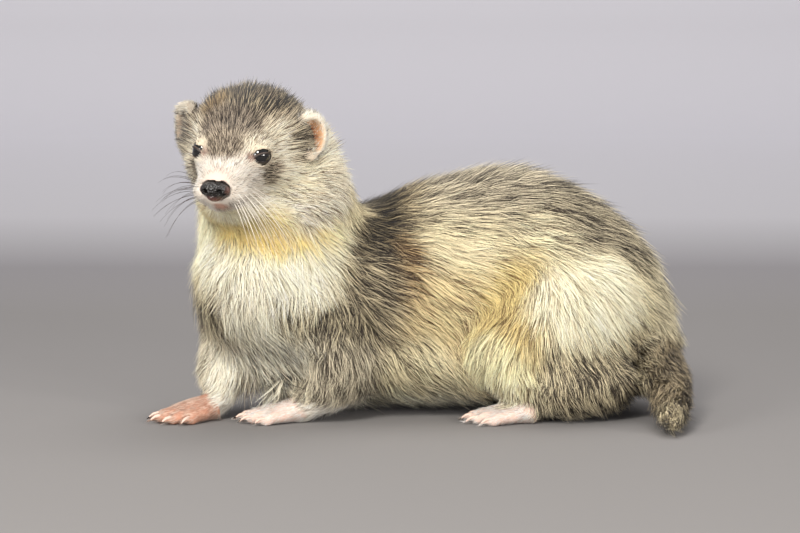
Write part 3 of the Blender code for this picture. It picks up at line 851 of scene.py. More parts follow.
def flat_map(item):
    """A lighter copy of a shape, unwrapped: its tree and the corners of its triangles on the flat map."""
    select_only(item)
    bpy.ops.object.duplicate()
    lighter = bpy.context.object
    thin = lighter.modifiers.new("thin", "DECIMATE")
    thin.ratio = min(1.0, MAP_FACES / len(lighter.data.polygons))
    apply_modifiers(lighter)
    bpy.ops.object.mode_set(mode="EDIT")
    bpy.ops.mesh.select_all(action="SELECT")
    bpy.ops.mesh.quads_convert_to_tris()
    bpy.ops.uv.smart_project(angle_limit=math.radians(66), island_margin=0.004)
    bpy.ops.object.mode_set(mode="OBJECT")
    places, _, _, corners = read_mesh(lighter)
    flat = np.empty(len(lighter.data.loops) * 2)
    lighter.data.uv_layers.active.data.foreach_get("uv", flat)
    loops = np.array([triangle.loops[:] for triangle in lighter.data.loop_triangles])
    bpy.data.objects.remove(lighter)
    return places[corners], flat.reshape(-1, 2)[loops], BVHTree.FromPolygons(
        places.tolist(), corners.tolist())


def place_on_map(chart, roots):
    """Where each root lies on the flat map."""
    corners, flats, tree = chart
    hits = [tree.find_nearest(Vector(p)) for p in roots]
    index = np.array([hit[2] for hit in hits])
    at = np.array([hit[0][:] for hit in hits])
    a, b, c = corners[index].transpose(1, 0, 2)
    whole = np.cross(b - a, c - a)
    size = np.maximum((whole * whole).sum(1), 1e-12)
    second = (np.cross(at - a, c - a) * whole).sum(1) / size
    third = (np.cross(b - a, at - a) * whole).sum(1) / size
    weights = np.clip(np.stack([1 - second - third, second, third], 1), 0, 1)
    return (flats[index] * weights[:, :, None]).sum(1)


def patch_offsets(rings):
    """Where the points of one blade lie inside its patch."""
    rows = [((side - 1) / 2, ring / (rings - 1) - 0.5) for ring in range(rings - 1) for side in range(3)]
    return np.array(rows + [(0, 0.5)]) * PATCH


skin_chart = flat_map(skin)
print("flat map with", len(skin_chart[0]), "triangles")

# %% [markdown]
# A coat has layers. Underfur is short, wide and soft, and its colour is a cloud between the pale and the dark
# of its marking. Over it go guard hairs, bent along the body, and a finer layer of straight ones between
# them. On face and feet, where the coat is short, a layer of short straight spikes takes their place: a spike
# has four triangles where a bent tuft has ten, so spikes can stand much closer. In all but the underfur each
# tuft is either pale or dark, in the share that its marking gives.


# %% The layers
# Of each: rings of a tuft, closeness in the long and in the short coat, width and length against the
# fields, lowest and highest tip against the coat's depth.
LAYERS = {
    "underfur": {"rings": 2, "in long": 0.36, "in short": 0.36,
                 "wide": 1.5, "reach": 0.8, "low": 0.4, "high": 0.8},
    "guard": {"rings": 3, "in long": 0.95, "in short": 0.0,
              "wide": 0.56, "reach": 1.0, "low": 0.62, "high": 1.12},
    "fine": {"rings": 2, "in long": 1.0, "in short": 0.0,
             "wide": 0.42, "reach": 0.6, "low": 0.7, "high": 1.15},
    "short": {"rings": 2, "in long": 0.0, "in short": 1.25,
              "wide": 1.15, "reach": 1.0, "low": 0.55, "high": 1.15},
}
print("layers:", list(LAYERS))

# %% [markdown]
# Dark hairs come in streaks along the lie, so their share goes up and down with noise that is drawn out that
# way. A hair is darker at its root, where little light reaches, and each differs a little from the next.


# %% Colours of the tufts
# The lightest that a linear colour may be: whiter than this would look like paper.
BRIGHTEST = 0.93


def tuft_colours(layer, pale, dark, share, places, ways):
    """Colours at root, middle and tip of each tuft."""
    count = len(places)
    streak = streaks(places, ways, 3.4, 9.0, 11) + 0.7 * streaks(places, ways, 1.6, 5.0, 12)
    swing = np.clip(share * (1 - share), 0, 1) ** 0.5
    fleck = 1 + 0.08 * streaks(places, ways, 2.2, 5.0, 13) + 0.07 * streaks(places, ways, 0.8, 2.2, 14)
    fleck = (fleck + (0.11 if layer in ("underfur", "guard") else 0.17) * rng.normal(size=count))[:, None]
    if layer == "underfur":
        cloud = np.clip(share * 0.9 + streak * 0.3 * swing, 0, 1)[:, None]
        mixed = (pale * (1 - cloud) + dark * cloud) * fleck
        root, middle, tip = mixed * np.array((0.72, 0.66, 0.56)), mixed * 0.86, mixed
    else:
        is_dark = rng.uniform(0, 1, count) < share * 0.82 + streak * 0.4 * swing
        own = np.where(is_dark[:, None], dark * 0.85, pale * 1.1) * fleck
        root, middle, tip = own * 0.66, own * 0.94, np.where(is_dark[:, None], own * 0.85, own * 1.1)
    return np.clip(np.stack([root, middle, tip], 1), 0, BRIGHTEST)


def ring_colours(rows):
    """The colours on the rings of a blade, three points a ring and one at the tip."""
    return np.concatenate([np.repeat(rows[:, :-1], 3, axis=1), rows[:, -1:]], 1)


print("colours of a tuft: root, middle, tip")

# %% [markdown]
# Growing a coat puts these steps in a row, layer by layer: plant, comb, gather, colour and make blades. The
# blades are sorted into named pieces by the place of their roots.


# %% Grow a coat
STRAY_SHARE = 0.16
STRAY_LIFT = 1.5


def grow(ground, chart, piece_of, pull=0.45):
    """Plants, combs, gathers and colours a ground's whole coat. Returns its pieces by name."""
    pieces = {}
    for layer, about in LAYERS.items():
        rings = about["rings"]
        close = about["in long"] * (1 - ground["short"]) + about["in short"] * ground["short"]
        chosen, weights = plant(ground, close)
        if len(chosen) == 0:
            continue
        roots = field(ground, "points", chosen, weights)
        ups = unit(field(ground, "normals", chosen, weights))
        ways = unit(field(ground, "lie", chosen, weights))
        pale, dark, share, depth = (field(ground, name, chosen, weights)
                                    for name in ("pale", "dark", "share", "depth"))
        reach = field(ground, "length", chosen, weights) * about["reach"]
        wide = field(ground, "width", chosen, weights) * about["wide"]
        # Length, bend and height differ from tuft to tuft, and a few tufts stray from the rest.
        reach = reach * rng.uniform(0.75, 1.2, len(roots))
        bend = 0.32 * lattice_noise(roots, 7.0, 21) + 0.22 * lattice_noise(roots, 2.6, 22)
        bend = (bend + 0.13 * rng.normal(size=len(roots))) * field(ground, "ruffle", chosen, weights)
        stray = rng.uniform(0, 1, len(roots)) < STRAY_SHARE * (layer != "underfur")
        rough = np.clip(0.5 + share, 0, 1)
        top = about["high"] - (about["high"] - about["low"]) * rough * rng.uniform(0, 1, len(roots))
        top = top * depth * np.where(stray, STRAY_LIFT, 1.0) + 0.12
        heights = top[:, None] * np.linspace(0, 1, rings)[None, 1:] ** 0.75
        free = np.clip(field(ground, "loose", chosen, weights) + 0.6 * stray, 0, 1)[:, None]
        line, line_ups = comb(ground, roots, ups, ways, bend, reach, heights, free)
        line = gather(line, roots, pull * np.clip(reach / 10, 0.2, 1))
        colours = tuft_colours(layer, pale, dark, share, roots, ways)
        corners, lights = blade_points(line, line_ups, wide)
        flats = place_on_map(chart, roots)[:, None] + patch_offsets(rings)[None]
        paints = ring_colours(colours if rings == 3 else colours[:, [0, 2]])
        names = piece_of(roots, chosen, weights)
        for name in np.unique(names):
            mine = names == name
            batch = (corners[mine], lights[mine], paints[mine], flats[mine])
            pieces.setdefault(name, []).append(batch)
    return pieces


def write_piece(name, batches):
    """One coat piece from its batches of blades, each with its own number of rings."""
    faces, start = [], 0
    for corners, _, _, _ in batches:
        count, points_each = corners.shape[:2]
        first = start + np.arange(count) * points_each
        faces.append((blade_faces(points_each // 3 + 1)[None] + first[:, None, None]).reshape(-1, 3))
        start += count * points_each
    corners, lights, paints, flats = (
        np.concatenate([rows.reshape(-1, rows.shape[-1]) for rows in column]) for column in zip(*batches))
    return write_mesh(name, corners, lights, np.concatenate(faces), paints, flats)


print("strays:", STRAY_SHARE, "of the tufts")

# %% [markdown]
# The last fields say how the coat behaves. Hair is looser, so it stands off more, at the hem of the belly, on
# the crown and feet, before the ears, on the hump of the back and in the fringe of the chest. It is ruffled
# most on neck, chest and forelegs.

# %% The ground of the body
# A coat of tufts longer than the first, in mm, counts as long, and shorter than the second as short.
SHORT_COAT = (7.2, 6.0)
LEAST_DEPTH = 0.25
ROUGH_BACK = ((48, 5, 112), (14, 24, 12))
depth_kept = np.maximum(depth, LEAST_DEPTH)
hem = step(20, 6, design[:, 2]) * (part_of("torso") + part_of("hindleg") * (design[:, 0] > 56))
crown = part_of("head") * step(14, 22, head_places[:, 2])
bare_feet = part_of("forepaw") + part_of("hindfoot")
lifted = soft_blob(design, *ROUGH_BACK) + 2 * soft_blob(design, *CHEST_FRINGE)
loose = 0.18 + 0.3 * lifted + 0.5 * hem + 0.85 * before_ears + 0.55 * crown
loose = np.clip(loose + 0.25 * part_of("head") + 0.25 * bare_feet, 0, 1)
breast = part_of("torso") * step(-30, -50, design[:, 0])
ruffle = 1 + 0.8 * np.clip(part_of("neck") + part_of("foreleg") + breast, 0, 1)
body_ground = make_ground(points, normals, triangles, lie=lie, depth=depth_kept, length=length,
                          width=width, density=density, parts=parts, loose=loose,
                          short=step(*SHORT_COAT, length), ruffle=ruffle, **coat_state)
print("looseness from", round(loose.min(), 2), "to", round(loose.max(), 2))

# %% [markdown]
# The coat of the body is cut into pieces, one for each part of the animal, with the head halved and the trunk
# in six, so that each stays light enough to open on its own.

# %% Grow the coat of the body
TORSO_CUTS = (-25, 25)


def body_piece(roots, chosen, weights):
    """The name of the coat piece each root belongs to."""
    part = field(body_ground, "parts", chosen, weights).argmax(1)
    names = np.array(["coat_" + name for name in FLESH], dtype="U40")[part]
    right_of_head = in_head(roots)[:, 0] > 0
    body = roots - np.array(shift)
    is_head = part == FLESH.index("head")
    names[is_head & right_of_head] = "coat_head_right"
    names[is_head & ~right_of_head] = "coat_head_left"
    is_torso = part == FLESH.index("torso")
    length_wise = np.searchsorted(TORSO_CUTS, body[:, 0])
    for number, third in enumerate(("fore", "middle", "rear")):
        for side in (RIGHT, LEFT):
            on_side = (body[:, 1] - TRUNK_MIDDLE) * side > 0
            here = is_torso & (length_wise == number) & on_side
            names[here] = "coat_torso_" + third + "_" + SIDE_NAMES[side]
    return names


coat_pieces = {}
for name, batches in grow(body_ground, skin_chart, body_piece).items():
    coat_pieces[name] = write_piece(name, batches)
for name, piece in coat_pieces.items():
    print(name, len(piece.data.polygons))
print("tufts of the body:", sum(len(piece.data.polygons) for piece in coat_pieces.values()), "triangles")

# %% [markdown]
# Materials. Hair has a soft broken shine along its length, and here that comes from thousands of small
# facets, so the shader itself can stay rough. Sheen gives the pale rim that backlit hair has.


# %% Materials of coat and skin
def painted(name, roughness, specular, sheen=0.0):
    """A rough material whose colour is painted on the points."""
    material, shader = new_material(name)
    paint = add_node(material, "ShaderNodeAttribute", {"attribute_name": PAINT_LAYER})
    material.node_tree.links.new(paint.outputs["Color"], shader.inputs["Base Color"])
    shader.inputs["Roughness"].default_value = roughness
    shader.inputs["Specular IOR Level"].default_value = specular
    shader.inputs["Sheen Weight"].default_value = sheen
    return material, shader


# Ferret guard hair and underfur: soft, a little glossy, pale along the rim.
coat_material, _ = painted("ferret_fur_soft", 0.62, 0.35, 0.12)
GRAINS_PER_METRE = 900.0
# Skin under the coat: dull, in the colours of the hair roots. Its grain is drawn at about a millimetre, which
# is coarser than real pores, so that it shows on the bare feet.
skin_material, skin_shader = painted("ferret_skin_under_fur", 0.85, 0.2)
skin_place = add_node(skin_material, "ShaderNodeTexCoord")
grain = add_node(skin_material, "ShaderNodeTexNoise", {"Scale": GRAINS_PER_METRE, "Detail": 3.0},
                 {"Vector": skin_place.outputs["Object"]})
bumps = add_node(skin_material, "ShaderNodeBump", {"Strength": 0.35, "Distance": 0.0004},
                 {"Height": grain.outputs["Fac"]})
skin_material.node_tree.links.new(bumps.outputs["Normal"], skin_shader.inputs["Normal"])


print("materials:", coat_material.name, skin_material.name)

# %% [markdown]
# Between the tufts a little skin shows. It takes the colours of the hair roots there, and is painted darker
# where the coat over it is deep: that darkening is painted shade.

# %% Paint the skin
share = coat_state["share"][:, None]
under = coat_state["pale"] * (1 - share * 0.6) + coat_state["dark"] * share * 0.6
# Painted shade: the skin is up to 35 percent darker where the coat over it is deep.
covered = np.clip(depth / 3.0, 0, 1)[:, None]
under = under * (1 - covered * 0.35)
bare = step(0.3, 0.8, bare_feet)[:, None]
# The feet are pink, and the right forepaw is stained orange-red.
red = (parts[:, FLESH.index("forepaw_right")] * 0.6 + 0.25)[:, None]
foot_colour = np.array(linear("#E6CDC0")) * (1 - red) + np.array(linear("#B07458")) * red
under = under * (1 - bare) + foot_colour * bare
paint_points(skin.data, under)
skin.data.materials.append(skin_material)
smooth_faces(skin.data)
for piece in coat_pieces.values():
    piece.data.materials.append(coat_material)
print("coat and skin painted")

# %% [markdown]
# Eyes. A ferret's eye is a nearly black ball, wet, that mirrors the lights as small bright points. It sits in
# a thin dark rim of lid, pink in its inner corner.

# %% Eye materials
# Wet cornea over a brown-black iris: smooth as glass, so it mirrors the lights as sharp points.
eye_material, eye_shader = new_material("wet_dark_eye")
eye_shader.inputs["Base Color"].default_value = linear("#040303") + [1]
eye_shader.inputs["Roughness"].default_value = 0.03
eye_shader.inputs["IOR"].default_value = 1.45
eye_shader.inputs["Coat Weight"].default_value = 1.0
eye_shader.inputs["Coat Roughness"].default_value = 0.02
# Lid margin: moist bare skin, brown-black at the edge and pink in the inner corner.
lid_material, _ = painted("moist_lid_margin", 0.4, 0.5)
print("materials:", eye_material.name, lid_material.name)

# %% [markdown]
# The ball is a sphere a little larger than the opening. The lid is a closed ring with a cross-section of
# its own, laid on the ball along an almond line: a thin lip at the edge that turns down into the fur. A
# round tube would look like a cord round the eye.

# %% The shape of a lid
# The opening's half width and half height, and of the cross-section: how far out from the almond line, and
# how high over the ball.
LID_HALF = (4.2, 1.55)
LID_SECTION = [(0.0, 0.1), (0.12, 0.35), (0.5, 0.4), (1.1, 0.0), (1.1, -0.6), (0.3, -0.4)]
LID_RINGS = 64
UPPER_LID_DROOP = 0.82
INNER_CORNER_DROP = 1.4


def eyelid(name, own_frame, side):
    """A closed ring of lid round the opening, its edge an almond with its inner corner drawn down."""
    places, colours = [], []
    for turn in np.linspace(0, 2 * np.pi, LID_RINGS, endpoint=False):
        almond = (0.6 + 0.4 * abs(math.sin(turn))) * (UPPER_LID_DROOP if turn < math.pi else 1.0)
        nose_side = max(0.0, -math.cos(turn) * side)
        for out, height in LID_SECTION:
            x = (LID_HALF[0] + out) * math.cos(turn)
            z = (LID_HALF[1] + out) * math.sin(turn) * almond - INNER_CORNER_DROP * nose_side ** 3
            over = math.hypot(x, z)
            y = math.sqrt(max(EYE_RADIUS ** 2 - over * over, 0.0))
            spot = Vector((x, y, z)).normalized() * (max(EYE_RADIUS, over) + height)
            places.append((own_frame @ spot)[:])
            pink = step(0.75, 1.0, nose_side) * 0.8
            edge = np.array(linear("#1E1411")) * (1 - pink) + np.array(linear("#A56F64")) * pink
            fur = step(0.5, 1.1, out)
            colours.append(edge * (1 - fur) + np.array(linear("#57463A")) * fur)
    sides = len(LID_SECTION)
    faces = []
    for ring in range(LID_RINGS):
        for k in range(sides):
            n = (k + 1) % sides
            after = (ring + 1) % LID_RINGS
            faces.append((ring * sides + k, ring * sides + n, after * sides + n, after * sides + k))
    mesh = bpy.data.meshes.new(name)
    mesh.from_pydata((np.array(places) * MM).tolist(), [], faces)
    item = link_new(mesh)
    select_only(item)
    bpy.ops.object.mode_set(mode="EDIT")
    bpy.ops.mesh.select_all(action="SELECT")
    bpy.ops.mesh.normals_make_consistent(inside=False)
    bpy.ops.object.mode_set(mode="OBJECT")
    smooth_faces(mesh)
    paint_points(mesh, np.array(colours))
    mesh.materials.append(lid_material)
    return item


print("points round a lid:", LID_RINGS * len(LID_SECTION))

# %% [markdown]
# Each eye is turned outward from the nose, as a hunting animal's are, and its place is written into its mesh.

# %% Eyes and lids
eyes, lids = {}, {}
for side in (RIGHT, LEFT):
    eye_frame = head_frame @ Matrix.Translation(mirrored(EYE, side))
    eye_frame = eye_frame @ Matrix.Rotation(math.radians(-side * EYE_OUT), 4, "Z")
    bpy.ops.mesh.primitive_uv_sphere_add(segments=48, ring_count=24, radius=EYE_RADIUS * MM)
    ball = bpy.context.object
    ball.name = ball.data.name = "eyeball_" + SIDE_NAMES[side]
    spot = eye_frame.copy()
    spot.translation *= MM
    ball.data.transform(spot)
    bpy.ops.object.shade_smooth()
    ball.data.materials.append(eye_material)
    eyes[side] = ball
    lids[side] = eyelid("eyelid_" + SIDE_NAMES[side], eye_frame, side)
print("eyes and lids:", len(eyes) + len(lids), "pieces")

# %% [markdown]
# Nose leather. The solid's shape is kept and remeshed finely, so that its facets go and the nostrils stay.
# Its skin is a pavement of tiny pads with a wet film over it, nearly black, and red-brown below the nostrils
# and on their wings. Real pads are about a third of a millimetre across. They are drawn at nine tenths, so
# that they show.


# %% Nose
def refined(node, name, voxel, rounds):
    """A fine smooth copy of one solid."""
    item = copy_node(node)
    item.name = item.data.name = name
    fine = item.modifiers.new("fine", "REMESH")
    fine.mode = "VOXEL"
    fine.voxel_size = voxel * MM
    even = item.modifiers.new("even", "SMOOTH")
    even.factor = 0.5
    even.iterations = rounds
    apply_modifiers(item)
    item.data.materials.clear()
    smooth_faces(item.data)
    return item


PADS_PER_METRE = 1100.0
nose = refined("nose", "nose_leather", 0.28, 4)
nose_places, _, _, _ = read_mesh(nose)
nose_head = in_head(nose_places)
redness = step(-10.6, -13.4, nose_head[:, 2])[:, None]
redness = np.maximum(redness, step(4.6, 6.4, np.abs(nose_head[:, 0]))[:, None] * 0.8)
nose_colour = np.array(linear("#100B09")) * (1 - redness) + np.array(linear("#643A31")) * redness
paint_points(nose.data, nose_colour)
# Nose leather: dark, moist and finely pebbled.
nose_material, nose_shader = painted("moist_nose_leather", 0.35, 0.5)
nose_place = add_node(nose_material, "ShaderNodeTexCoord")
pads = add_node(nose_material, "ShaderNodeTexVoronoi", {"Scale": PADS_PER_METRE},
                {"Vector": nose_place.outputs["Object"]})
pebbles = add_node(nose_material, "ShaderNodeBump", {"Strength": 1.0, "Distance": 0.0005},
                   {"Height": pads.outputs["Distance"]})
nose_material.node_tree.links.new(pebbles.outputs["Normal"], nose_shader.inputs["Normal"])
nose_material.node_tree.links.new(pebbles.outputs["Normal"], nose_shader.inputs["Coat Normal"])
nose_shader.inputs["Coat Weight"].default_value = 0.35
nose_shader.inputs["Coat Roughness"].default_value = 0.22
nose.data.materials.append(nose_material)
print("nose:", len(nose.data.polygons), "faces")

# %% [markdown]
# Ears. A ferret's ear is a small rounded cup. Inside it is bare and warm orange-brown where light shines
# through, its rim carries a band of cream hair, and its back is furred like the head. A veil of dark hair
# leans over the cup from its front edge. The ears differ in the photo: the left one is open and lit, and the
# right one lies in shade with its veil far over it.

# %% The ear's own frame and fields
EAR_TURN, EAR_TILT = 42, 12
EAR_HALF = (9.2, 11.2)
# Where the veil begins, in mm inward of the cup's middle, and over how many mm it thickens.
VEIL_START = {LEFT: 3.0, RIGHT: -7.0}
VEIL_BLEND = 3.0


def ear_fields(ear, side):
    """The ear's points, the directions of its frame, and its fields: cup, veil and the rest."""
    frame = head_frame @ Matrix.Translation(mirrored(EAR, side))
    frame = frame @ Matrix.Rotation(math.radians(-side * EAR_TURN), 4, "Z")
    frame = frame @ Matrix.Rotation(math.radians(side * EAR_TILT), 4, "Y")
    points, normals, edges, triangles = read_mesh(ear)
    inverse = np.array(frame.inverted())
    own = points @ inverse[:3, :3].T + inverse[:3, 3]
    spin = np.array(frame.to_3x3())
    facing = normals @ spin[:, 1]
    radius = np.hypot(own[:, 0] / EAR_HALF[0], own[:, 2] / EAR_HALF[1])
    front_face = blur((facing > -0.2).astype(float), edges, 2)
    foot = step(-2.5, -6, own[:, 2]) * front_face
    cup = step(0.85, 0.62, radius) * front_face * (1.0 if side == LEFT else 0.35)
    veil_line = step(VEIL_START[side], VEIL_START[side] + VEIL_BLEND, -own[:, 0] * side)
    return {"mesh": (points, normals, triangles), "own": own, "spin": spin, "radius": radius, "foot": foot,
            "cup": cup * (1 - foot), "veil line": veil_line,
            "veil": front_face * veil_line * step(-6.5, -2.5, own[:, 2]),
            "low rim": step(6.0, 2.0, own[:, 2]) * (side == RIGHT), "behind": step(0.5, -0.5, facing)}


print("the left ear's veil starts", VEIL_START[LEFT], "mm inward, the right one's", VEIL_START[RIGHT])

# %% [markdown]
# The skin of the ear is pale at the rim and warm in the cup, deepest in its middle. It is painted darker
# under the veil, and in the right ear as a whole, as painted shade; the right ear's lower rim is darker too.


# %% Skin of the ears
# Thin ear skin: warm, matt, a little translucent to the eye.
ear_material, _ = painted("thin_ear_skin", 0.55, 0.35)


def ear_skin_colour(side, fields):
    radius, cup, veil, low_rim, veil_line = (
        fields[name][:, None] for name in ("radius", "cup", "veil", "low rim", "veil line"))
    warm = np.array(linear("#D6A67C")) * step(0.3, 0.7, radius)
    warm = warm + np.array(linear("#A85C38")) * step(0.7, 0.3, radius)
    # Painted shade: the cup darkened under the veil, and in the right ear, which lies in shade.
    warm = warm * (1 - 0.6 * veil) * (1 if side == LEFT else 0.45)
    # Painted shade: the rim darkened on the veil's side. The right ear's lower rim is darker too.
    rim = np.array(linear("#E8D8C2")) * (1 - 0.5 * low_rim) * (1 - 0.6 * veil_line)
    return rim * (1 - cup) + warm * cup


print("material:", ear_material.name)

# %% [markdown]
# The ear's fur lies outward over the rim, and the veil leans inward over the cup. The cup itself has hardly
# any hair.


# %% Fur of the ears
# Length of the fur of each ear, in mm.
EAR_FUR = {LEFT: 2.6, RIGHT: 1.4}


def ear_ground(side, fields):
    """The ear as a ground for a coat."""
    points, normals, triangles = fields["mesh"]
    own, spin, veil, foot = (fields[name] for name in ("own", "spin", "veil", "foot"))
    low_rim, behind = fields["low rim"], fields["behind"]
    count = len(points)
    outward = np.stack([own[:, 0], np.zeros(count), own[:, 2] + 7], 1)
    flat_lie = unit(outward) @ spin.T
    flat_lie = unit(flat_lie - normals * (flat_lie * normals).sum(1, keepdims=True))
    over = unit(np.array((1.0 * side, 0.5, -0.1))) @ spin.T
    cream = np.tile(linear("#F3E9D6"), (count, 1))
    cream = cream * (1 - 0.4 * behind[:, None]) * (1 - 0.4 * low_rim[:, None])
    share = 0.04 + 0.75 * veil * step(9, 6, own[:, 2]) + 0.2 * foot + 0.4 * behind + 0.35 * low_rim
    return make_ground(points, normals, triangles,
                       lie=unit(flat_lie * (1 - veil[:, None]) + over * veil[:, None]),
                       length=EAR_FUR[side] + 1.8 * veil + 2.2 * foot, width=0.3 + 0.04 * veil,
                       density=(0.3 + 3.2 * (1 - fields["cup"])) * (1 - veil) + 2.4 * veil,
                       depth=1.0 - 0.4 * veil, loose=np.maximum(0.5 * (1 - foot), veil),
                       short=np.ones(count), ruffle=np.ones(count), share=share,
                       pale=cream * (1 - 0.3 * veil[:, None]), dark=np.tile(linear("#3A2D25"), (count, 1)))


ear_pieces = {}
for side in (RIGHT, LEFT):
    ear = refined("ear_" + SIDE_NAMES[side], "ear_skin_" + SIDE_NAMES[side], 0.5, 3)
    fields = ear_fields(ear, side)
    paint_points(ear.data, ear_skin_colour(side, fields))
    ear.data.materials.append(ear_material)
    fur_name = "coat_ear_" + SIDE_NAMES[side]
    grown = grow(ear_ground(side, fields), flat_map(ear),
                 lambda roots, chosen, weights: np.full(len(roots), fur_name), 0.2)
    fur = write_piece(fur_name, grown[fur_name])
    fur.data.materials.append(coat_material)
    ear_pieces[side] = (ear, fur)
    print(fur_name, len(fur.data.polygons))

# %% [markdown]
# Claws and whiskers are both tapered rods along a bent line, so one function makes them: a ring of points
# round each point of the line, and a cap at each end.


# %% Tapered tubes
def tube(name, path, radii, sides=10):
    """A closed tube along points in millimetres, with a radius at each."""
    path = np.array(path, float)
    radii = np.broadcast_to(radii, len(path))
    along = unit(np.vstack([path[1:], path[-1:]]) - np.vstack([path[:1], path[:-1]]))
    hint = np.array((0.31, 0.2, 0.93))
    across = unit(np.cross(along, hint))
    raised = np.cross(along, across)
    angles = np.linspace(0, 2 * np.pi, sides, endpoint=False)
    circle = np.cos(angles)[None, :, None] * across[:, None] + np.sin(angles)[None, :, None] * raised[:, None]
    places = (path[:, None] + circle * radii[:, None, None]).reshape(-1, 3)
    faces = []
    for ring in range(len(path) - 1):
        for side in range(sides):
            a, b = ring * sides + side, ring * sides + (side + 1) % sides
            faces.append((a, b, b + sides, a + sides))
    last = (len(path) - 1) * sides
    faces += [tuple(range(sides))[::-1], tuple(last + side for side in range(sides))]
    mesh = bpy.data.meshes.new(name)
    mesh.from_pydata((places * MM).tolist(), [], faces)
    smooth_faces(mesh)
    return link_new(mesh)


print("tubes ready")

# %% [markdown]
# A ferret has five claws on each foot, which don't draw in. One is modelled, a tapered curved horn, and it
# is copied to the end of each toe, where the solids' toes end.

# %% Claws
# Of each foot: its place and heading, and how far ahead its knuckles lie. Of each toe: how far it is to the
# side of them and behind or before them, its reach and its splay in degrees.
FEET = {("forepaw", LEFT): ((-49, -29), 97, 15), ("forepaw", RIGHT): ((-88, -23), 116, 15),
        ("hindfoot", LEFT): ((50, -32), 92, 17), ("hindfoot", RIGHT): ((48, 42), 88, 17)}
TOES = {"inner": (-8, -4, 8.5, -22), "second": (-5.2, 0, 11, -9), "middle": (-0.6, 1.4, 12, 0),
        "fourth": (4, 0.4, 11.4, 8), "outer": (8, -3, 9.5, 20)}
SOLE_PRESS = 1.1
CLAW_LINE = [(0, -3.0, 3.9), (0, -1.2, 4.2), (0, 0.6, 3.9), (0, 2.0, 3.1), (0, 3.0, 2.0)]
CLAW_RADII = [0.8, 0.85, 0.7, 0.45, 0.1]
# Claw horn: pale, smooth, slightly see-through to the eye.
claw_material, claw_shader = new_material("claw_horn")
claw_shader.inputs["Base Color"].default_value = linear("#D9BFB0") + [1]
claw_shader.inputs["Roughness"].default_value = 0.3

pattern = tube("claw", CLAW_LINE, CLAW_RADII, sides=8)
pattern.data.materials.append(claw_material)
claws = {}
for (kind, side), (place, degrees, knuckles) in FEET.items():
    foot_frame = Matrix.Translation(shift) @ turned((*place, -SOLE_PRESS), degrees)
    bpy.ops.object.select_all(action="DESELECT")
    for x, behind, reach, splay in TOES.values():
        toe_frame = foot_frame @ Matrix.Translation(Vector((x * side, knuckles + behind, 0)))
        toe_frame = toe_frame @ Matrix.Rotation(math.radians(-side * splay), 4, "Z")
        toe_frame = toe_frame @ Matrix.Translation(Vector((0, reach, 0)))
        claw = pattern.copy()
        claw.data = pattern.data.copy()
        bpy.context.scene.collection.objects.link(claw)
        metres = toe_frame.copy()
        metres.translation *= MM
        claw.data.transform(metres)
        claw.select_set(True)
        bpy.context.view_layer.objects.active = claw
    bpy.ops.object.join()
    foot_claws = bpy.context.object
    foot_claws.name = foot_claws.data.name = "claws_" + kind + "_" + SIDE_NAMES[side]
    claws[kind, side] = foot_claws
bpy.data.objects.remove(pattern)
print("claws on", len(claws), "feet")

# %% [markdown]
# Whiskers grow in rows from the pads of the lip. In the photo those on the animal's right are dark against
# the pale wall and those on its left are white against its cheek. Each is a long tapered tube that bows down.

# %% Whiskers
WHISKER_ROWS = 4
WHISKERS_IN_ROW = 5
WHISKER_RADIUS = {RIGHT: 0.13, LEFT: 0.16}
WHISKER_TIP_RADIUS = 0.03
WHISKER_POINTS = 11
WHISKER_ROOT_SUNK = 2.0
# How much lower those on the left point.
WHISKER_HANG = {RIGHT: 0.0, LEFT: 0.9}


def whisker_line(start, way, reach, droop):
    """Points in millimetres, from the pad out, bowing down as they go."""
    rows = []
    for t in np.linspace(0, 1, WHISKER_POINTS):
        rows.append(Vector(start) + way * reach * t * (1 - 0.15 * t) + Vector((0, -0.25, -1)) * droop * t * t)
    return [(head_frame @ row)[:] for row in rows]


def whisker_material(name, colour):
    """Stiff, smooth and shiny hair, so it catches the light as a thin line."""
    material, shader = new_material(name)
    shader.inputs["Base Color"].default_value = linear(colour) + [1]
    shader.inputs["Roughness"].default_value = 0.3
    return material


whisker_finish = {LEFT: whisker_material("white_whisker", "#EFE8DC"),
                  RIGHT: whisker_material("dark_whisker", "#3A2F29")}
whisker_pieces = {}
for side in (RIGHT, LEFT):
    bpy.ops.object.select_all(action="DESELECT")
    for row in range(WHISKER_ROWS):
        for place in range(WHISKERS_IN_ROW):
            start = Vector((side * (7.4 + 0.9 * place), 33.5 - 2.6 * place, -9.4 - 1.8 * row))
            lift = 0.35 - 0.2 * row - WHISKER_HANG[side]
            way = Vector((side, 0.35 - 0.25 * place + rng.uniform(-0.15, 0.15), lift))
            way.normalize()
            reach = (18 + 4.5 * place) * rng.uniform(0.8, 1.15)
            line = whisker_line(start - way * WHISKER_ROOT_SUNK, way, reach, rng.uniform(6, 13) + row)
            radii = np.linspace(WHISKER_RADIUS[side], WHISKER_TIP_RADIUS, WHISKER_POINTS)
            hair = tube("whisker", line, radii, sides=4)
            hair.data.materials.append(whisker_finish[side])
            hair.select_set(True)
            bpy.context.view_layer.objects.active = hair
    bpy.ops.object.join()
    joined = bpy.context.object
    joined.name = joined.data.name = "whiskers_" + SIDE_NAMES[side]
    whisker_pieces[side] = joined
print("whiskers:", 2 * WHISKER_ROWS * WHISKERS_IN_ROW)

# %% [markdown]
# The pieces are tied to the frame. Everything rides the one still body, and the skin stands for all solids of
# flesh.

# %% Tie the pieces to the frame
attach(skin, "root")
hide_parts(*FLESH)
for name, piece in coat_pieces.items():
    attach(piece, "root")
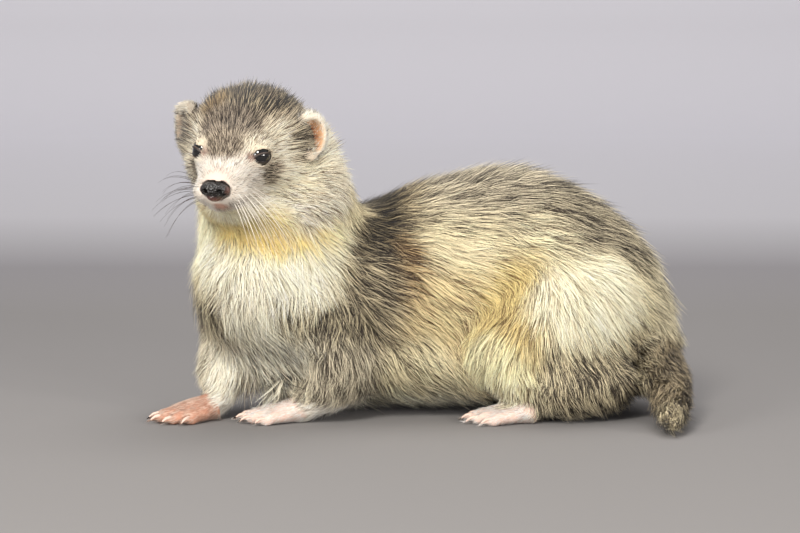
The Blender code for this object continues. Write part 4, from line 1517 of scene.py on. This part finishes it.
for side in (RIGHT, LEFT):
    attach(eyes[side], "root")
    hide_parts("eye_" + SIDE_NAMES[side])
    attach(lids[side], "root")
    ear, fur = ear_pieces[side]
    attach(ear, "root")
    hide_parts("ear_" + SIDE_NAMES[side])
    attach(fur, "root")
    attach(whisker_pieces[side], "root")
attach(nose, "root")
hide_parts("nose")
for piece in claws.values():
    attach(piece, "root")
print("tied")

# %% [markdown]
# A sweep of paper stands behind the animal: a floor painted middle grey, as painted shade, that turns pale
# toward the wall. The wall is 2 m back, which leaves room for a camera behind the animal.

# %% Backdrop
# Of the sweep's profile: depth and height in metres, and the colour painted there. The greys over the floor
# are painted shade.
SWEEP = [(-4.0, 0, "#83817E"), (0.3, 0, "#7F7D7D"), (0.5, 0, "#858386"), (0.8, 0, "#BBBABF"),
         (1.58, 0, "#E2E1E8"), (1.96, 0.1, "#E2E1E8"), (2.04, 0.27, "#E2E1E8"), (2.05, 1.94, "#E2E1E8")]
sweep_mesh = bpy.data.meshes.new("backdrop")
sweep_mesh.from_pydata([(x, y, z) for y, z, _ in SWEEP for x in (-3.0, 3.0)], [],
                       [(2 * i, 2 * i + 1, 2 * i + 3, 2 * i + 2) for i in range(len(SWEEP) - 1)])
backdrop = link_new(sweep_mesh)
select_only(backdrop)
bpy.ops.object.shade_smooth()
paint_points(sweep_mesh, np.array([linear(colour) for _, _, colour in SWEEP for _ in (0, 1)]))
# Matt paper: pale with a touch of lavender behind; the middle grey on the floor is painted shade.
paper, _ = painted("matt_backdrop_paper", 0.9, 0.2)
backdrop.data.materials.append(paper)
print("the wall is", SWEEP[-1][0], "m back")

# %% [markdown]
# Five soft lights, as in a studio with big windows. The key stands high in front, a little to the animal's
# right. Two smaller ones on the other side light the flank and put the points in the eyes, a broad low one
# fills the shade under the chin and chest, and a wide one over the back draws a pale rim on it.

# %% Lights
# Of each: name, place in metres, side of its square in metres, watts and colour.
SOFTBOXES = [
    ("key", (-0.35, -0.95, 0.95), 0.36, 12, "#FFF9F0"),
    ("right", (0.9, -0.8, 0.32), 0.24, 6.5, "#FFFAF2"),
    ("window", (0.6, -1.05, 0.36), 0.16, 2.4, "#FFFCF8"),
    ("fill", (-0.9, -0.85, 0.3), 0.5, 10, "#FFFCF8"),
    ("top", (0.1, 0.3, 1.3), 0.8, 9, "#FFFDFA"),
]
LIT_POINT = Vector((0, 0, 0.06))
for name, place, size, watts, colour in SOFTBOXES:
    bpy.ops.object.light_add(type="AREA", location=place)
    light = bpy.context.object
    light.name = name
    light.data.size = size
    light.data.energy = watts
    light.data.color = linear(colour)
    light.rotation_euler = (LIT_POINT - Vector(place)).to_track_quat("-Z", "Y").to_euler()
world = bpy.data.worlds.new("studio")
bpy.context.scene.world = world
world.use_nodes = True
world.node_tree.nodes["Background"].inputs["Color"].default_value = linear("#E2E0E0") + [1]
world.node_tree.nodes["Background"].inputs["Strength"].default_value = 0.64
bpy.context.scene.view_settings.view_transform = "Standard"
